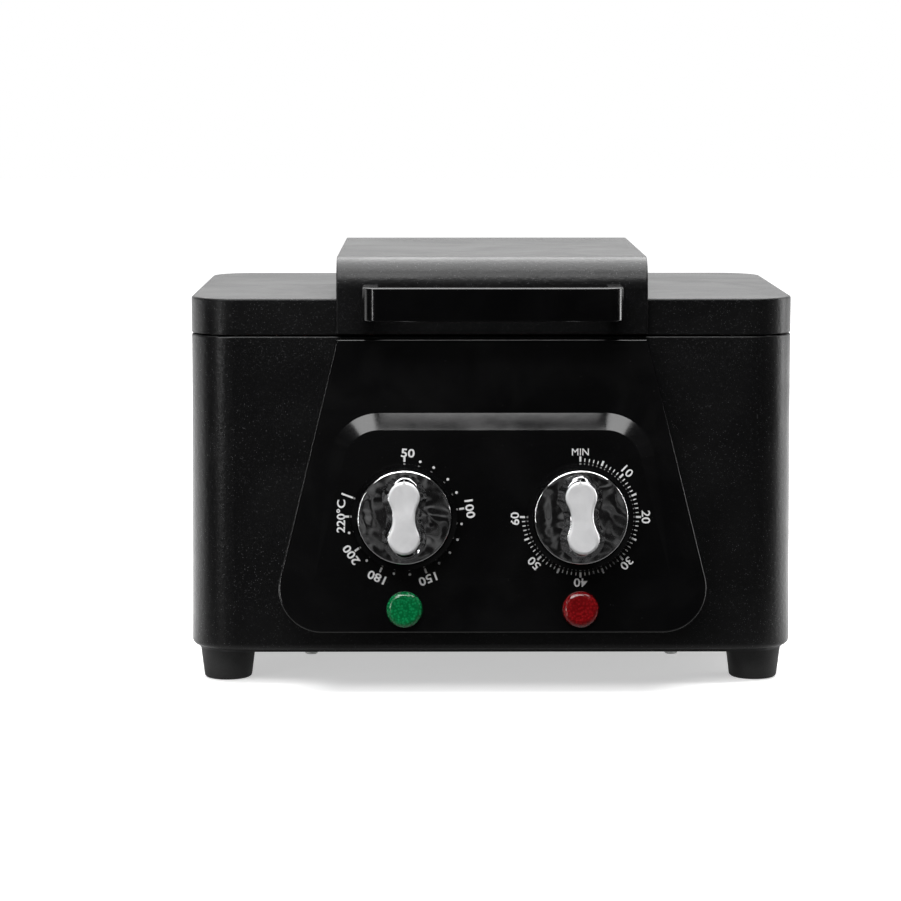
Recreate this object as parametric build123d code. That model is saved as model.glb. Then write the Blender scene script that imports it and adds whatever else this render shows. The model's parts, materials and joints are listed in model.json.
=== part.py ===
from build123d import *
from math import cos, radians, sin, tan
import os

# A bench-top dry heat sterilizer: a painted steel body with a hinged lid over a stainless chamber,
# a leaning control panel with two knobs and two lamps, and four rubber feet.
# Sizes are in millimetres. +Z is up and the control panel faces -Y.
# Everything is drawn about the middle of the body. At the end it is moved along Y, so that the
# origin lies on the bench under the middle of the whole outline.

os.makedirs("parts", exist_ok=True)

# Body, as seen from above at its top rim
body_width = 259.0
body_depth = 165.0
body_corner = 19.0
body_draft = 0.42            # degrees that each wall leans in on its way up
body_base = 15.0             # underside of the body above the bench
body_top = 151.0             # top rim, on which the chamber hangs
body_sheet = 1.2
body_low_edge = 2.6          # radius of the lower outside edge
body_rim_edge = 0.7          # radius of the upper outside edge
floor_flange = 8.5           # inward flange that carries the base plate

# Window behind the control panel, for the thermostat, timer and lamps
window_half = 66.0
window_low = 29.0
window_high = 108.0
window_corner = 6.0

# Vent slots in the rear wall
vent_count = 11
vent_pitch = 9.0
vent_width = 3.0
vent_height = 18.0
vent_middle = 112.0          # height of the slots' middle

# Base plate, feet and their fasteners
base_sheet = 1.2
base_inset = 3.2             # plate edge inside the body's outline
base_slot_rows = 6
base_slot_columns = 5
base_slot_length = 26.0
base_slot_width = 3.2
base_slot_row_pitch = 11.0
base_slot_column_pitch = 34.0
foot_top = 12.0              # radii of the tapered foot
foot_bottom = 10.25
foot_edge = 1.4
foot_from_side = 14.5        # foot middle inside the body's top outline
foot_from_front = 19.5
foot_pocket = 5.2            # radius of the pocket that hides the screw head
foot_pocket_depth = 7.5

# Chamber: a drawn stainless pan that hangs by its flange on the top rim
chamber_length = 200.0
chamber_width = 104.0
chamber_depth = 62.0
chamber_corner = 16.0
chamber_low_edge = 8.0
chamber_sheet = 0.8
chamber_flange = 14.0
chamber_back = 8.0           # chamber's middle behind the body's middle
chamber_gap = 1.0            # pan to the rim of its opening

# Lift-out tray
tray_gap = 1.5
tray_height = 30.0
tray_sheet = 0.8
tray_lip = 3.0
tray_hole = 3.0
tray_hole_pitch = 16.0
tray_tab_width = 54.0
tray_tab_rise = 16.0
tray_tab_lip = 7.0
tray_foot = 2.0              # dimples that keep the tray off the chamber's floor
tray_foot_radius = 5.0

# Heater under the chamber, and what holds it
heater_length = 168.0
heater_width = 66.0
heater_thickness = 3.2
clamp_length = 150.0
clamp_width = 16.0
clamp_thickness = 2.0
stud_radius = 2.5
stud_spacing = 110.0
nut_height = 4.0
nut_across = 8.0

# Insulation jacket round the chamber
jacket_thickness = 8.0
jacket_low = 91.0
soft_gap = 0.3               # a soft piece stays this far from its neighbours

# Lid
lid_gap = 0.8                # slit between body and lid
lid_height = 15.5
lid_sheet = 1.2
lid_edge = 1.1
liner_inset = 7.0            # liner's edge inside the lid's outline
liner_corner = 15.0
liner_sheet = 0.8
liner_above = 3.1            # liner's underside above the lid's lower edge
liner_turn = 5.0             # height of the liner's turned-up edge
post_radius = 2.6
post_x = 104.0
post_y = 71.5
seal_width = 6.0
seal_from_chamber = 2.0      # seal's inner edge outside the chamber's mouth

# Raised band over the lid, from front to back
band_width = 132.6
band_rise = 17.5             # above the lid's top
band_proud = 3.5             # in front of the lid's front
band_nose = 13.0             # radius where the top turns down
band_wall = 2.0
band_edge = 0.6
band_low_gap = 0.6           # band's lower end above the lid's lower edge

# Lid handle: a flat bar bent to a U in plan
handle_width = 109.7
handle_reach = 25.0
handle_height = 14.1
handle_low = 159.5
handle_bar = 5.5
handle_post = 6.5
handle_outer = 6.8
handle_inner = 2.2
handle_edge = 0.6

# Hinges at the back
hinge_spacing = 170.0
hinge_length = 36.0
hinge_sheet = 1.5
hinge_leaf_height = 10.5
knuckle_radius = 3.4
knuckle_gap = 0.3
hinge_axis_back = 4.0        # axis behind the body's rear face
hinge_pin_radius = 1.5
hinge_play = 0.05            # radial play of the turning knuckle
pin_head_radius = 2.6
pin_head_height = 0.8

# Control panel: a moulded wedge with a raised dial field
panel_top = 150.0
panel_bottom = 27.2
panel_side_angle = 13.5      # degrees that each side leans out on its way down
panel_corner = 18.6
panel_lip = 2.5              # in front of the body at the upper edge
panel_lean = 10.5            # degrees that the face leans back
panel_wall = 2.5
panel_edge = 0.8
dial_lean = 6.5              # degrees that the raised field leans back
field_top = 119.0            # height of the field's upper foot line
field_end = 50.0             # height where the field runs out into the panel
field_half_top = 66.6
field_side_angle = 7.4
field_corner = 21.0
field_wall_slope = 60.0      # degrees of the field's sloping wall from the face's normal
field_edge = 0.9
dial_height = 75.7
dial_spacing = 74.6
lamp_height = 36.9

# Knobs and their shafts
skirt_radius = 22.9
skirt_top_radius = 22.3
skirt_height = 5.0
skirt_wall = 1.6
knob_gap = 0.6               # skirt to the dial field
cap_radius = 19.8
cap_thickness = 2.6
cap_seat = 0.9               # depth of the cap's seat in the skirt
cap_edge = 0.7
cap_rim = 1.1                # width of the raised rim round the cap
cap_rim_height = 0.6
grip_length = 36.4
grip_lobe = 9.5              # radius of the grip's rounded ends
grip_waist = 7.5             # half the grip's width in the middle
grip_height = 12.0
grip_taper = 13.4            # degrees that the grip's sides lean in
grip_edge = 1.5
hub_radius = 6.0
shaft_radius = 3.0
shaft_flat = 0.6             # depth of the flat that drives the knob
shaft_play = 0.05
shaft_depth = 12.0           # reach into the thermostat or timer
timer_rest = 3.4             # the timer's pointer rests this many degrees left of its zero

# Thermostat, timer and lamps
neck_radius = 5.0
neck_play = 0.4
thermostat_width = 34.0
thermostat_height = 42.0
thermostat_depth = 26.0
timer_radius = 21.0
timer_depth = 26.0
bell_radius = 17.0
bell_depth = 7.0
bell_sheet = 1.0
dial_screw_spacing = 28.0
bulb_radius = 3.0
bulb_length = 70.0
bulb_front = 42.0            # bulb in front of the chamber's middle
capillary_radius = 0.8
lens_radius = 7.7
lens_rim = 1.2
lens_rise = 3.6
barrel_radius = 4.6
barrel_length = 13.0
barrel_play = 0.1
lamp_nut_wall = 1.5
lamp_nut_height = 2.4

# Mains inlet and terminals
gland_x = 92.0
gland_height = 40.0
gland_bore = 3.5
gland_neck = 6.0
gland_flange = 9.5
gland_flange_height = 2.2
gland_dome_radius = 7.6
gland_dome_height = 7.0
gland_inside = 9.0
gland_nut_height = 4.0
block_length = 44.0
block_width = 17.0
block_height = 13.0

# Fasteners
screw_radius = 1.5
screw_play = 0.05
screw_head = 2.8
screw_head_height = 1.7
small_head = 2.2
base_screw_x = 78.0
base_screw_inset = 6.0
hole_play = 0.3

LOW = (Align.CENTER, Align.CENTER, Align.MIN)
HIGH = (Align.CENTER, Align.CENTER, Align.MAX)
lid_low = body_top + lid_gap
lid_top = lid_low + lid_height
band_top = lid_top + band_rise
rear = body_depth / 2
front = -body_depth / 2
chamber_floor = body_top + chamber_sheet - chamber_depth
chamber_under = chamber_floor - chamber_sheet
plate_top = body_base
plate_under = body_base - base_sheet
liner_low = lid_low + liner_above
hinge_y = rear + hinge_axis_back
hinge_z = body_top + lid_gap / 2


def block(x, y, z):
    """A box between two limits on each axis."""
    size = Box(x[1] - x[0], y[1] - y[0], z[1] - z[0], align=(Align.MIN, Align.MIN, Align.MIN))
    return Pos(x[0], y[0], z[0]) * size


def slab(length, width, corner, y_middle, low, high):
    """An upright prism on a rounded rectangle."""
    outline = Pos(0, y_middle, low) * RectangleRounded(length, width, corner)
    return extrude(outline, amount=high - low)


def body_block(inset, low, high):
    """The tapered form of the body, its walls moved in by the inset, between two heights."""
    grow = (body_top - low) * tan(radians(body_draft)) - inset
    outline = RectangleRounded(body_width + 2 * grow, body_depth + 2 * grow, body_corner + grow)
    return extrude(Pos(0, 0, low) * outline, amount=high - low, taper=body_draft)


def facing(x, y, z, normal):
    """A plane at a point, with X to the right for the two upright walls."""
    across = (1, 0, 0) if normal[1] <= 0 else (-1, 0, 0)
    return Plane(origin=(x, y, z), x_dir=across, z_dir=normal)


def screw(length, radius=screw_radius, head=screw_head, height=screw_head_height):
    """A pan-head screw: head above the origin, shank below it, with a slot across the head."""
    dome = Cylinder(head, height, align=LOW)
    dome = fillet(dome.edges().group_by(Axis.Z)[-1], height * 0.6)
    slot = Pos(0, 0, height) * Box(head * 1.5, head * 0.24, height * 0.8)
    return dome - slot + Cylinder(radius, length, align=HIGH)


def hole(depth, radius=screw_radius + screw_play):
    """A round cutter from the origin down."""
    return Cylinder(radius, depth, align=HIGH)


def group(pieces):
    """Like pieces that stay separate solids in one part file."""
    return Compound([solid for piece in pieces for solid in piece.solids()])


# Places that several pieces share
foot_x = body_width / 2 - foot_from_side
foot_y = body_depth / 2 - foot_from_front
foot_places = [(x, y) for y in (-foot_y, foot_y) for x in (-foot_x, foot_x)]
base_screw_y = body_depth / 2 - base_screw_inset
base_screw_places = [(x, y) for y in (-base_screw_y, base_screw_y) for x in (-base_screw_x, base_screw_x)]
chamber_screw_x = chamber_length / 2 + chamber_sheet + chamber_flange - 3.4
chamber_screw_y = chamber_width / 2 + chamber_sheet + chamber_flange - 3.4
chamber_screw_places = [
    (x, y)
    for x in (-chamber_screw_x + 12, 0, chamber_screw_x - 12)
    for y in (chamber_back - chamber_screw_y, chamber_back + chamber_screw_y)
]
post_places = [(x, y) for y in (-post_y, post_y) for x in (-post_x, 0, post_x)]
hinge_middles = (-hinge_spacing / 2, hinge_spacing / 2)

# The leaning planes of the control panel
face_plane = Plane(
    origin=(0, front - panel_lip, panel_top),
    x_dir=(1, 0, 0),
    z_dir=(0, -cos(radians(panel_lean)), sin(radians(panel_lean))),
)


def face_y(z):
    """Y of the panel's face at a height."""
    return front - panel_lip - (panel_top - z) * tan(radians(panel_lean))


def field_y(z):
    """Y of the raised dial field at a height."""
    return face_y(field_end) + (z - field_end) * tan(radians(dial_lean))


def dial_plane(side):
    """Plane on the dial field at a knob's axis, with its normal out of the panel."""
    return Plane(
        origin=(side * dial_spacing / 2, field_y(dial_height), dial_height),
        x_dir=(1, 0, 0),
        z_dir=(0, -cos(radians(dial_lean)), sin(radians(dial_lean))),
    )


def lamp_plane(side):
    """Plane on the panel's face at a lamp's axis."""
    return Plane(
        origin=(side * dial_spacing / 2, face_y(lamp_height), lamp_height),
        x_dir=(1, 0, 0),
        z_dir=face_plane.z_dir,
    )


# The panel is screwed on from inside the body, at four hollow posts
panel_post_radius = 4.0
panel_post_pilot = 3.6
panel_post_places = [(-56.0, 134.0), (56.0, 134.0), (-78.0, 44.0), (78.0, 44.0)]


def wall_y(z):
    """Y of the body's outer front face at a height."""
    return front - (body_top - z) * tan(radians(body_draft))


def make_housing_shell():
    outer = body_block(0, body_base, body_top)
    outer = fillet(outer.edges().group_by(Axis.Z)[0], body_low_edge)
    outer = fillet(outer.edges().group_by(Axis.Z)[-1], body_rim_edge)
    inner = body_block(body_sheet, body_base + body_sheet, body_top - body_sheet)
    inner = fillet(inner.edges().group_by(Axis.Z)[0], body_low_edge - body_sheet)
    shell = outer - inner
    shell -= body_block(body_sheet + floor_flange, body_base - 1, body_base + body_sheet + 1)
    mouth = chamber_sheet + chamber_gap
    shell -= slab(
        chamber_length + 2 * mouth,
        chamber_width + 2 * mouth,
        chamber_corner + mouth,
        chamber_back,
        body_top - body_sheet - 1,
        body_top + 1,
    )
    window_size = (2 * window_half, window_high - window_low)
    window_plane = facing(0, front + 5, (window_low + window_high) / 2, (0, -1, 0))
    shell -= extrude(window_plane * RectangleRounded(*window_size, window_corner), amount=12)
    vent_plane = facing(0, rear - 5, vent_middle, (0, 1, 0))
    vent = SlotOverall(vent_height, vent_width, rotation=90)
    for place in GridLocations(vent_pitch, 1, vent_count, 1):
        shell -= extrude(vent_plane * place * vent, amount=12)
    for x, z in panel_post_places:
        shell -= facing(x, wall_y(z) + 5, z, (0, 1, 0)) * hole(12)
    for x, y in base_screw_places:
        shell -= Pos(x, y, body_base + 5) * hole(12)
    for x, y in chamber_screw_places:
        shell -= Pos(x, y, body_top + 1) * hole(5)
    for x, z in hinge_screw_places(low_leaf=True):
        shell -= facing(x, rear + 2, z, (0, 1, 0)) * hole(12)
    shell -= facing(gland_x, rear + 5, gland_height, (0, 1, 0)) * hole(12, gland_neck + screw_play)
    return shell


def make_base_plate():
    grow = (body_top - body_base) * tan(radians(body_draft)) - base_inset
    outline = RectangleRounded(body_width + 2 * grow, body_depth + 2 * grow, body_corner + grow)
    plate = extrude(Pos(0, 0, plate_under) * outline, amount=base_sheet)
    slot = Pos(0, 0, plate_under - 1) * SlotOverall(base_slot_length, base_slot_width)
    rows = GridLocations(
        base_slot_column_pitch, base_slot_row_pitch, base_slot_columns, base_slot_rows
    )
    for place in rows:
        plate -= extrude(place * slot, amount=base_sheet + 2)
    for x, y in foot_places:
        plate -= Pos(x, y, plate_top + 1) * hole(base_sheet + 2, stud_radius + hole_play)
    for x, y in base_screw_places:
        plate -= Pos(x, y, plate_top + 1) * hole(base_sheet + 2, screw_radius + hole_play)
    for x, y in terminal_screw_places:
        plate -= Pos(x, y, plate_top + 1) * hole(base_sheet + 2, screw_radius + hole_play)
    return plate


def make_foot(x, y):
    """A tapered rubber foot with a pocket for its screw."""
    cone = Cone(foot_bottom, foot_top, plate_under, align=LOW)
    cone = fillet(cone.edges().group_by(Axis.Z)[0], foot_edge)
    pocket = Cylinder(foot_pocket, foot_pocket_depth, align=LOW)
    through = Cylinder(stud_radius + hole_play, plate_under, align=LOW)
    return Pos(x, y, 0) * (cone - pocket - through)


def foot_screw(x, y):
    """A screw up through the foot and the base plate."""
    length = plate_top - foot_pocket_depth + nut_height + 1.5
    turned = Rot(180, 0, 0) * screw(length, stud_radius, foot_pocket - 0.7, 2.4)
    return Pos(x, y, foot_pocket_depth) * turned


def nut(radius, across, height):
    """A hexagon nut with its lower face on the origin."""
    body = extrude(RegularPolygon(across / 2, 6, major_radius=False), amount=height)
    return body - Pos(0, 0, -1) * Cylinder(radius + screw_play, height + 2, align=LOW)


def make_chamber():
    """The drawn pan: flange, straight walls and a rounded floor edge."""
    out = chamber_sheet
    length = chamber_length + 2 * out
    width = chamber_width + 2 * out
    pan = slab(length, width, chamber_corner + out, chamber_back, chamber_under, body_top)
    pan = fillet(pan.edges().group_by(Axis.Z)[0], chamber_low_edge + out)
    flange = slab(
        length + 2 * chamber_flange,
        width + 2 * chamber_flange,
        chamber_corner + chamber_flange,
        chamber_back,
        body_top,
        body_top + chamber_sheet,
    )
    inside = slab(
        chamber_length, chamber_width, chamber_corner, chamber_back, chamber_floor, body_top + 5
    )
    inside = fillet(inside.edges().group_by(Axis.Z)[0], chamber_low_edge)
    pan = pan + flange - inside
    for x, y in chamber_screw_places:
        pan -= Pos(x, y, body_top + 5) * hole(10, screw_radius + hole_play)
    return pan


def make_tray():
    """A perforated lift-out tray with a rim and a lifting tab at each end."""
    length = chamber_length - 2 * tray_gap - 2 * tray_lip
    width = chamber_width - 2 * tray_gap - 2 * tray_lip
    corner = chamber_corner - tray_gap - tray_lip
    low = chamber_floor + tray_foot
    high = low + tray_height
    edge = 4.0
    outer = slab(length, width, corner, chamber_back, low, high)
    outer = fillet(outer.edges().group_by(Axis.Z)[0], edge)
    rim = slab(
        length + 2 * tray_lip, width + 2 * tray_lip, corner + tray_lip, chamber_back,
        high - tray_sheet, high,
    )
    inner = slab(
        length - 2 * tray_sheet, width - 2 * tray_sheet, corner - tray_sheet, chamber_back,
        low + tray_sheet, high + 1,
    )
    inner = fillet(inner.edges().group_by(Axis.Z)[0], edge - tray_sheet)
    tray = outer + rim - inner
    columns = int((length - 4 * edge) / tray_hole_pitch)
    rows = int((width - 4 * edge) / tray_hole_pitch)
    drill = Pos(0, chamber_back, low + 3) * Cylinder(tray_hole, 8)
    for place in GridLocations(tray_hole_pitch, tray_hole_pitch, columns, rows):
        tray -= place * drill
    foot_dx = length / 2 - 16
    foot_dy = width / 2 - 16
    for place in GridLocations(2 * foot_dx, 2 * foot_dy, 2, 2):
        bump = Pos(0, chamber_back, low + 0.2) * Cylinder(tray_foot_radius, tray_foot + 0.2, align=HIGH)
        tray += place * bump
    for side in (-1, 1):
        x_out = length / 2
        up = Pos(side * (x_out - tray_sheet / 2), chamber_back, high - tray_sheet)
        tab = up * Box(tray_sheet, tray_tab_width, tray_tab_rise, align=LOW)
        lip_x = side * (x_out - tray_tab_lip / 2)
        lip = Pos(lip_x, chamber_back, high + tray_tab_rise - 2 * tray_sheet)
        tray += tab + lip * Box(tray_tab_lip, tray_tab_width, tray_sheet, align=LOW)
    return tray


def make_heater_plate():
    plate = slab(
        heater_length, heater_width, 5, chamber_back, chamber_under - heater_thickness, chamber_under
    )
    for x in (-stud_spacing / 2, stud_spacing / 2):
        plate -= Pos(x, chamber_back, chamber_under + 1) * hole(10, stud_radius + hole_play)
    return plate


def make_heater_clamp():
    """A pressed bar with its edges turned down for stiffness."""
    top = chamber_under - heater_thickness
    bar = slab(clamp_length, clamp_width, 4, chamber_back, top - clamp_thickness - 3, top)
    groove_width = clamp_width - 2 * clamp_thickness
    bar -= slab(
        clamp_length + 2, groove_width, 1, chamber_back, top - clamp_thickness - 4, top - clamp_thickness
    )
    for x in (-stud_spacing / 2, stud_spacing / 2):
        bar -= Pos(x, chamber_back, top + 1) * hole(clamp_thickness + 2, stud_radius + hole_play)
    return bar


def heater_stud(x):
    """A stud under the chamber with its nut run up against the clamp bar."""
    clamp_under = chamber_under - heater_thickness - clamp_thickness
    stud = Cylinder(stud_radius, heater_thickness + clamp_thickness + nut_height + 2, align=HIGH)
    stud = Pos(x, chamber_back, chamber_under) * stud
    body = extrude(RegularPolygon(nut_across / 2, 6, major_radius=False), amount=-nut_height)
    return stud + Pos(x, chamber_back, clamp_under) * body


def make_insulation_jacket():
    gap = chamber_sheet + soft_gap
    length = chamber_length + 2 * gap
    width = chamber_width + 2 * gap
    corner = chamber_corner + gap
    high = body_top - body_sheet - soft_gap
    outer = slab(
        length + 2 * jacket_thickness, width + 2 * jacket_thickness, corner + jacket_thickness,
        chamber_back, jacket_low, high,
    )
    return outer - slab(length, width, corner, chamber_back, jacket_low - 1, high + 1)


def panel_outline(inset):
    """The panel's trapezoid as seen from the front, its sides moved in by the inset."""
    lean = tan(radians(panel_side_angle))
    high = panel_top - inset
    low = panel_bottom + inset
    across = inset / cos(radians(panel_side_angle))
    half_high = band_width / 2 + (panel_top - high) * lean - across
    half_low = band_width / 2 + (panel_top - low) * lean - across
    points = [(-half_high, high), (half_high, high), (half_low, low), (-half_low, low)]
    outline = make_face(Polyline(*points, close=True))
    return fillet(outline.vertices().sort_by(Axis.Y)[:2], panel_corner - inset)


def beyond(plane, inset=0):
    """All that lies in front of a leaning plane."""
    return plane.offset(-inset) * Box(800, 800, 300, align=LOW)


def panel_wedge(inset):
    """The panel's outline run forward from the body to its leaning face."""
    wedge = extrude(facing(0, 0, 0, (0, -1, 0)) * panel_outline(inset), amount=200)
    return wedge - beyond(face_plane, inset)


def make_dial_field(inset):
    """The raised field: a tapered pad on the face, cut off by a plane that leans less.
    The inset moves all its sides and both planes in, for the hollow behind it."""
    lean = cos(radians(panel_lean))
    spread = tan(radians(field_side_angle))
    low = field_end - 6
    half_high = field_half_top - inset
    half_low = half_high + (field_top - low) * spread
    v_high = (field_top - panel_top) / lean - inset
    v_low = (low - panel_top) / lean
    points = [(-half_low, v_low), (half_low, v_low), (half_high, v_high), (-half_high, v_high)]
    outline = make_face(Polyline(*points, close=True))
    outline = fillet(outline.vertices().sort_by(Axis.Y)[-2:], field_corner - inset)
    rise = (field_top - field_end) * (tan(radians(panel_lean)) - tan(radians(dial_lean)))
    pad = extrude(outline, amount=rise + 0.6, taper=field_wall_slope)
    return face_plane.offset(-inset) * pad - beyond(dial_plane(1), inset)


def on_plane(shape, plane):
    """The edges of a shape that lie in a plane."""
    def flat(edge):
        return all(abs(plane.to_local_coords(edge @ t).Z) < 1e-4 for t in (0, 0.5, 1))
    return [edge for edge in shape.edges() if flat(edge)]


def make_control_panel():
    panel = panel_wedge(0)
    panel = fillet(on_plane(panel, face_plane), panel_edge)
    panel += make_dial_field(0)
    panel -= panel_wedge(panel_wall)
    panel -= make_dial_field(panel_wall)
    for x, z in panel_post_places:
        post = facing(x, 0, z, (0, -1, 0)) * Cylinder(panel_post_radius, 200, align=LOW)
        panel += post - beyond(face_plane, panel_wall / 2)
    panel -= body_block(0, body_base, body_top)
    panel -= block((-300, 300), (front + 1, 1), (0, 400))
    for x, z in panel_post_places:
        panel -= facing(x, wall_y(z) - panel_post_pilot, z, (0, 1, 0)) * Cylinder(
            screw_radius + screw_play, 30, align=LOW
        )
    for side in (-1, 1):
        panel -= dial_plane(side) * Cylinder(neck_radius + neck_play, 30)
        for x in (-dial_screw_spacing / 2, dial_screw_spacing / 2):
            panel -= dial_plane(side) * Pos(x, 0, 0) * Cylinder(screw_radius + hole_play, 30)
        panel -= lamp_plane(side) * Cylinder(barrel_radius + barrel_play, 30)
    return panel


def panel_screw(x, z):
    """A screw from inside the body into a post of the control panel."""
    inside = wall_y(z) + body_sheet + screw_head * tan(radians(body_draft))
    return facing(x, inside, z, (0, 1, 0)) * screw(body_sheet + panel_post_pilot - 0.3)


def grip_outline():
    """An hourglass: two round lobes joined by hollow flanks that touch them smoothly."""
    offset = grip_length / 2 - grip_lobe
    flank = (grip_waist**2 + offset**2 - grip_lobe**2) / (2 * (grip_lobe - grip_waist))
    reach = grip_waist + flank
    share = grip_lobe / (grip_lobe + flank)
    touch_x = reach * share
    touch_y = offset - offset * share
    outline = Rectangle(2 * touch_x, 2 * touch_y)
    outline += Pos(0, offset) * Circle(grip_lobe) + Pos(0, -offset) * Circle(grip_lobe)
    return outline - Pos(reach, 0) * Circle(flank) - Pos(-reach, 0) * Circle(flank)


def make_knob_skirt():
    """The knob's black skirt: a hollow disc with a hub for the shaft."""
    low = knob_gap
    high = knob_gap + skirt_height
    seat = cap_radius + 0.1
    profile = [
        (0, low), (hub_radius, low), (hub_radius, high - skirt_wall - cap_seat),
        (skirt_radius - skirt_wall, high - skirt_wall - cap_seat), (skirt_radius - skirt_wall, low),
        (skirt_radius, low), (skirt_radius, low + 1.2), (skirt_top_radius, high),
        (seat + 0.4, high - 0.3), (seat, high - cap_seat), (0, high - cap_seat),
    ]
    disc = revolve(Plane.XZ * make_face(Polyline(*profile, close=True)), Axis.Z)
    return disc - shaft_section(shaft_play)


def shaft_section(play):
    """The bore for the D-shaped shaft, from under the hub to its blind end."""
    bore = Cylinder(shaft_radius + play, knob_gap + skirt_height - cap_seat - 1.0, align=LOW)
    flat_x = shaft_radius - shaft_flat + play
    return bore - Pos(flat_x, 0, 0) * Box(20, 20, 60, align=(Align.MIN, Align.CENTER, Align.CENTER))


def make_knob_cap():
    """The chromed cap: a disc with a raised rim and an hourglass grip across it."""
    low = knob_gap + skirt_height - cap_seat
    disc = Pos(0, 0, low) * Cylinder(cap_radius, cap_thickness + cap_rim_height, align=LOW)
    disc = fillet(disc.edges().group_by(Axis.Z)[-1], cap_edge)
    top = low + cap_thickness
    disc -= Pos(0, 0, top) * Cylinder(cap_radius - cap_rim, 10, align=LOW)
    grip = extrude(Pos(0, 0, top - 0.5) * grip_outline(), amount=grip_height + 0.5, taper=grip_taper)
    grip = fillet(grip.edges().group_by(Axis.Z)[-1], grip_edge)
    return disc + grip


def make_shaft():
    """The D-shaped control shaft, from inside the thermostat or timer to the knob's hub."""
    high = knob_gap + skirt_height - cap_seat - 1.3
    turned = Pos(0, 0, high) * Cylinder(
        shaft_radius, high + panel_wall + shaft_depth, align=HIGH
    )
    flat_x = shaft_radius - shaft_flat
    flat = Box(20, 20, high - knob_gap + 0.1, align=(Align.MIN, Align.CENTER, Align.MIN))
    return turned - Pos(flat_x, 0, knob_gap - 0.1) * flat


def neck(depth):
    """The round neck of a control, through the panel, with a bore for the shaft."""
    tube = Cylinder(neck_radius, panel_wall + depth, align=HIGH)
    return Pos(0, 0, -0.3) * tube


def control_bore():
    """The blind bore for a shaft."""
    return Cylinder(shaft_radius + shaft_play, panel_wall + shaft_depth + 0.4, align=HIGH)


def control_screw_pilots():
    pilots = []
    for x in (-dial_screw_spacing / 2, dial_screw_spacing / 2):
        pilots.append(Pos(x, 0, -panel_wall) * hole(6))
    return group(pilots)


def make_thermostat_case():
    low = -panel_wall - thermostat_depth
    case = Box(thermostat_width, thermostat_height, thermostat_depth, align=HIGH)
    case = fillet(case.edges().filter_by(Axis.Z), 2.5)
    case = Pos(0, 0, -panel_wall) * case + neck(2)
    case = case - control_bore() - control_screw_pilots()
    tail = Pos(0, 0, low) * Cylinder(3.2, 3.0, align=HIGH)
    for x in (-8, 0, 8):
        case += Pos(x, -14, low) * Box(6.3, 0.8, 8, align=HIGH)
    return case + tail


def make_timer_case():
    case = Pos(0, 0, -panel_wall) * Cylinder(timer_radius, timer_depth, align=HIGH)
    case = fillet(case.edges().group_by(Axis.Z)[0], 1.5)
    case = case + neck(2) - control_bore() - control_screw_pilots()
    post = Pos(0, 0, -panel_wall - timer_depth) * Cylinder(2.5, 1.2, align=HIGH)
    return case + post


def make_timer_bell():
    """The struck bell behind the timer: a shallow dome on a short post."""
    top = -panel_wall - timer_depth - 1.2
    dome = Pos(0, 0, top) * Cylinder(bell_radius, bell_depth, align=HIGH)
    dome = fillet(dome.edges().group_by(Axis.Z)[-1], bell_depth * 0.7)
    hollow = Pos(0, 0, top - bell_sheet) * Cylinder(bell_radius - bell_sheet, bell_depth, align=HIGH)
    return dome - fillet(hollow.edges().group_by(Axis.Z)[-1], bell_depth * 0.7 - bell_sheet)


def dial_screw(side, x):
    return dial_plane(side) * Pos(x, 0, 0) * screw(panel_wall + 5.5, head=2.7, height=1.2)


def make_lens():
    """A domed lamp lens with a stepped rim and a barrel behind it."""
    dome = Cylinder(lens_radius, lens_rise, align=LOW)
    dome = fillet(dome.edges().group_by(Axis.Z)[-1], lens_rise - lens_rim)
    return dome + Cylinder(barrel_radius, barrel_length, align=HIGH)


def make_lamp_nut():
    bore = barrel_radius + barrel_play
    ring = Pos(0, 0, -panel_wall) * Cylinder(bore + lamp_nut_wall, lamp_nut_height, align=HIGH)
    ring = fillet(ring.edges().group_by(Axis.Z)[0], 0.5)
    return ring - Cylinder(bore, 60)


# The sensing bulb lies under the chamber's floor, beside the heater
bulb_y = chamber_back - bulb_front
bulb_z = chamber_under - bulb_radius - 0.4
bulb_left = -50.0


def make_sensing_bulb():
    """The bulb and its capillary, from the thermostat's tail to the bulb's end."""
    bulb = Cylinder(bulb_radius, bulb_length, align=LOW)
    bulb = fillet(bulb.edges(), bulb_radius * 0.6)
    bulb = Pos(bulb_left, bulb_y, bulb_z) * Rot(0, 90, 0) * bulb
    tail = dial_plane(-1) * Pos(0, 0, -panel_wall - thermostat_depth - 3.0)
    start = tail.position
    into = dial_plane(-1).z_dir * -1
    first = start + into * 8
    end = Vector(bulb_left + 0.5, bulb_y, bulb_z)
    before = end + Vector(-16, 0, 0)
    lift = Vector(before.X, (first.Y + bulb_y) / 2, bulb_z - 6)
    path = FilletPolyline(start, first, lift, before, end, radius=3.5)
    section = Plane(origin=start, z_dir=into) * Circle(capillary_radius)
    return bulb + sweep(section, path=path)


def bulb_clip(x):
    """A small saddle that holds the bulb up against the chamber's floor."""
    width = 2 * bulb_radius + 3
    saddle = block(
        (x - 3, x + 3), (bulb_y - width / 2, bulb_y + width / 2), (bulb_z - bulb_radius - 1, chamber_under)
    )
    return saddle - Pos(x, bulb_y, bulb_z) * Rot(0, 90, 0) * Cylinder(bulb_radius + 0.1, 20)


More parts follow.
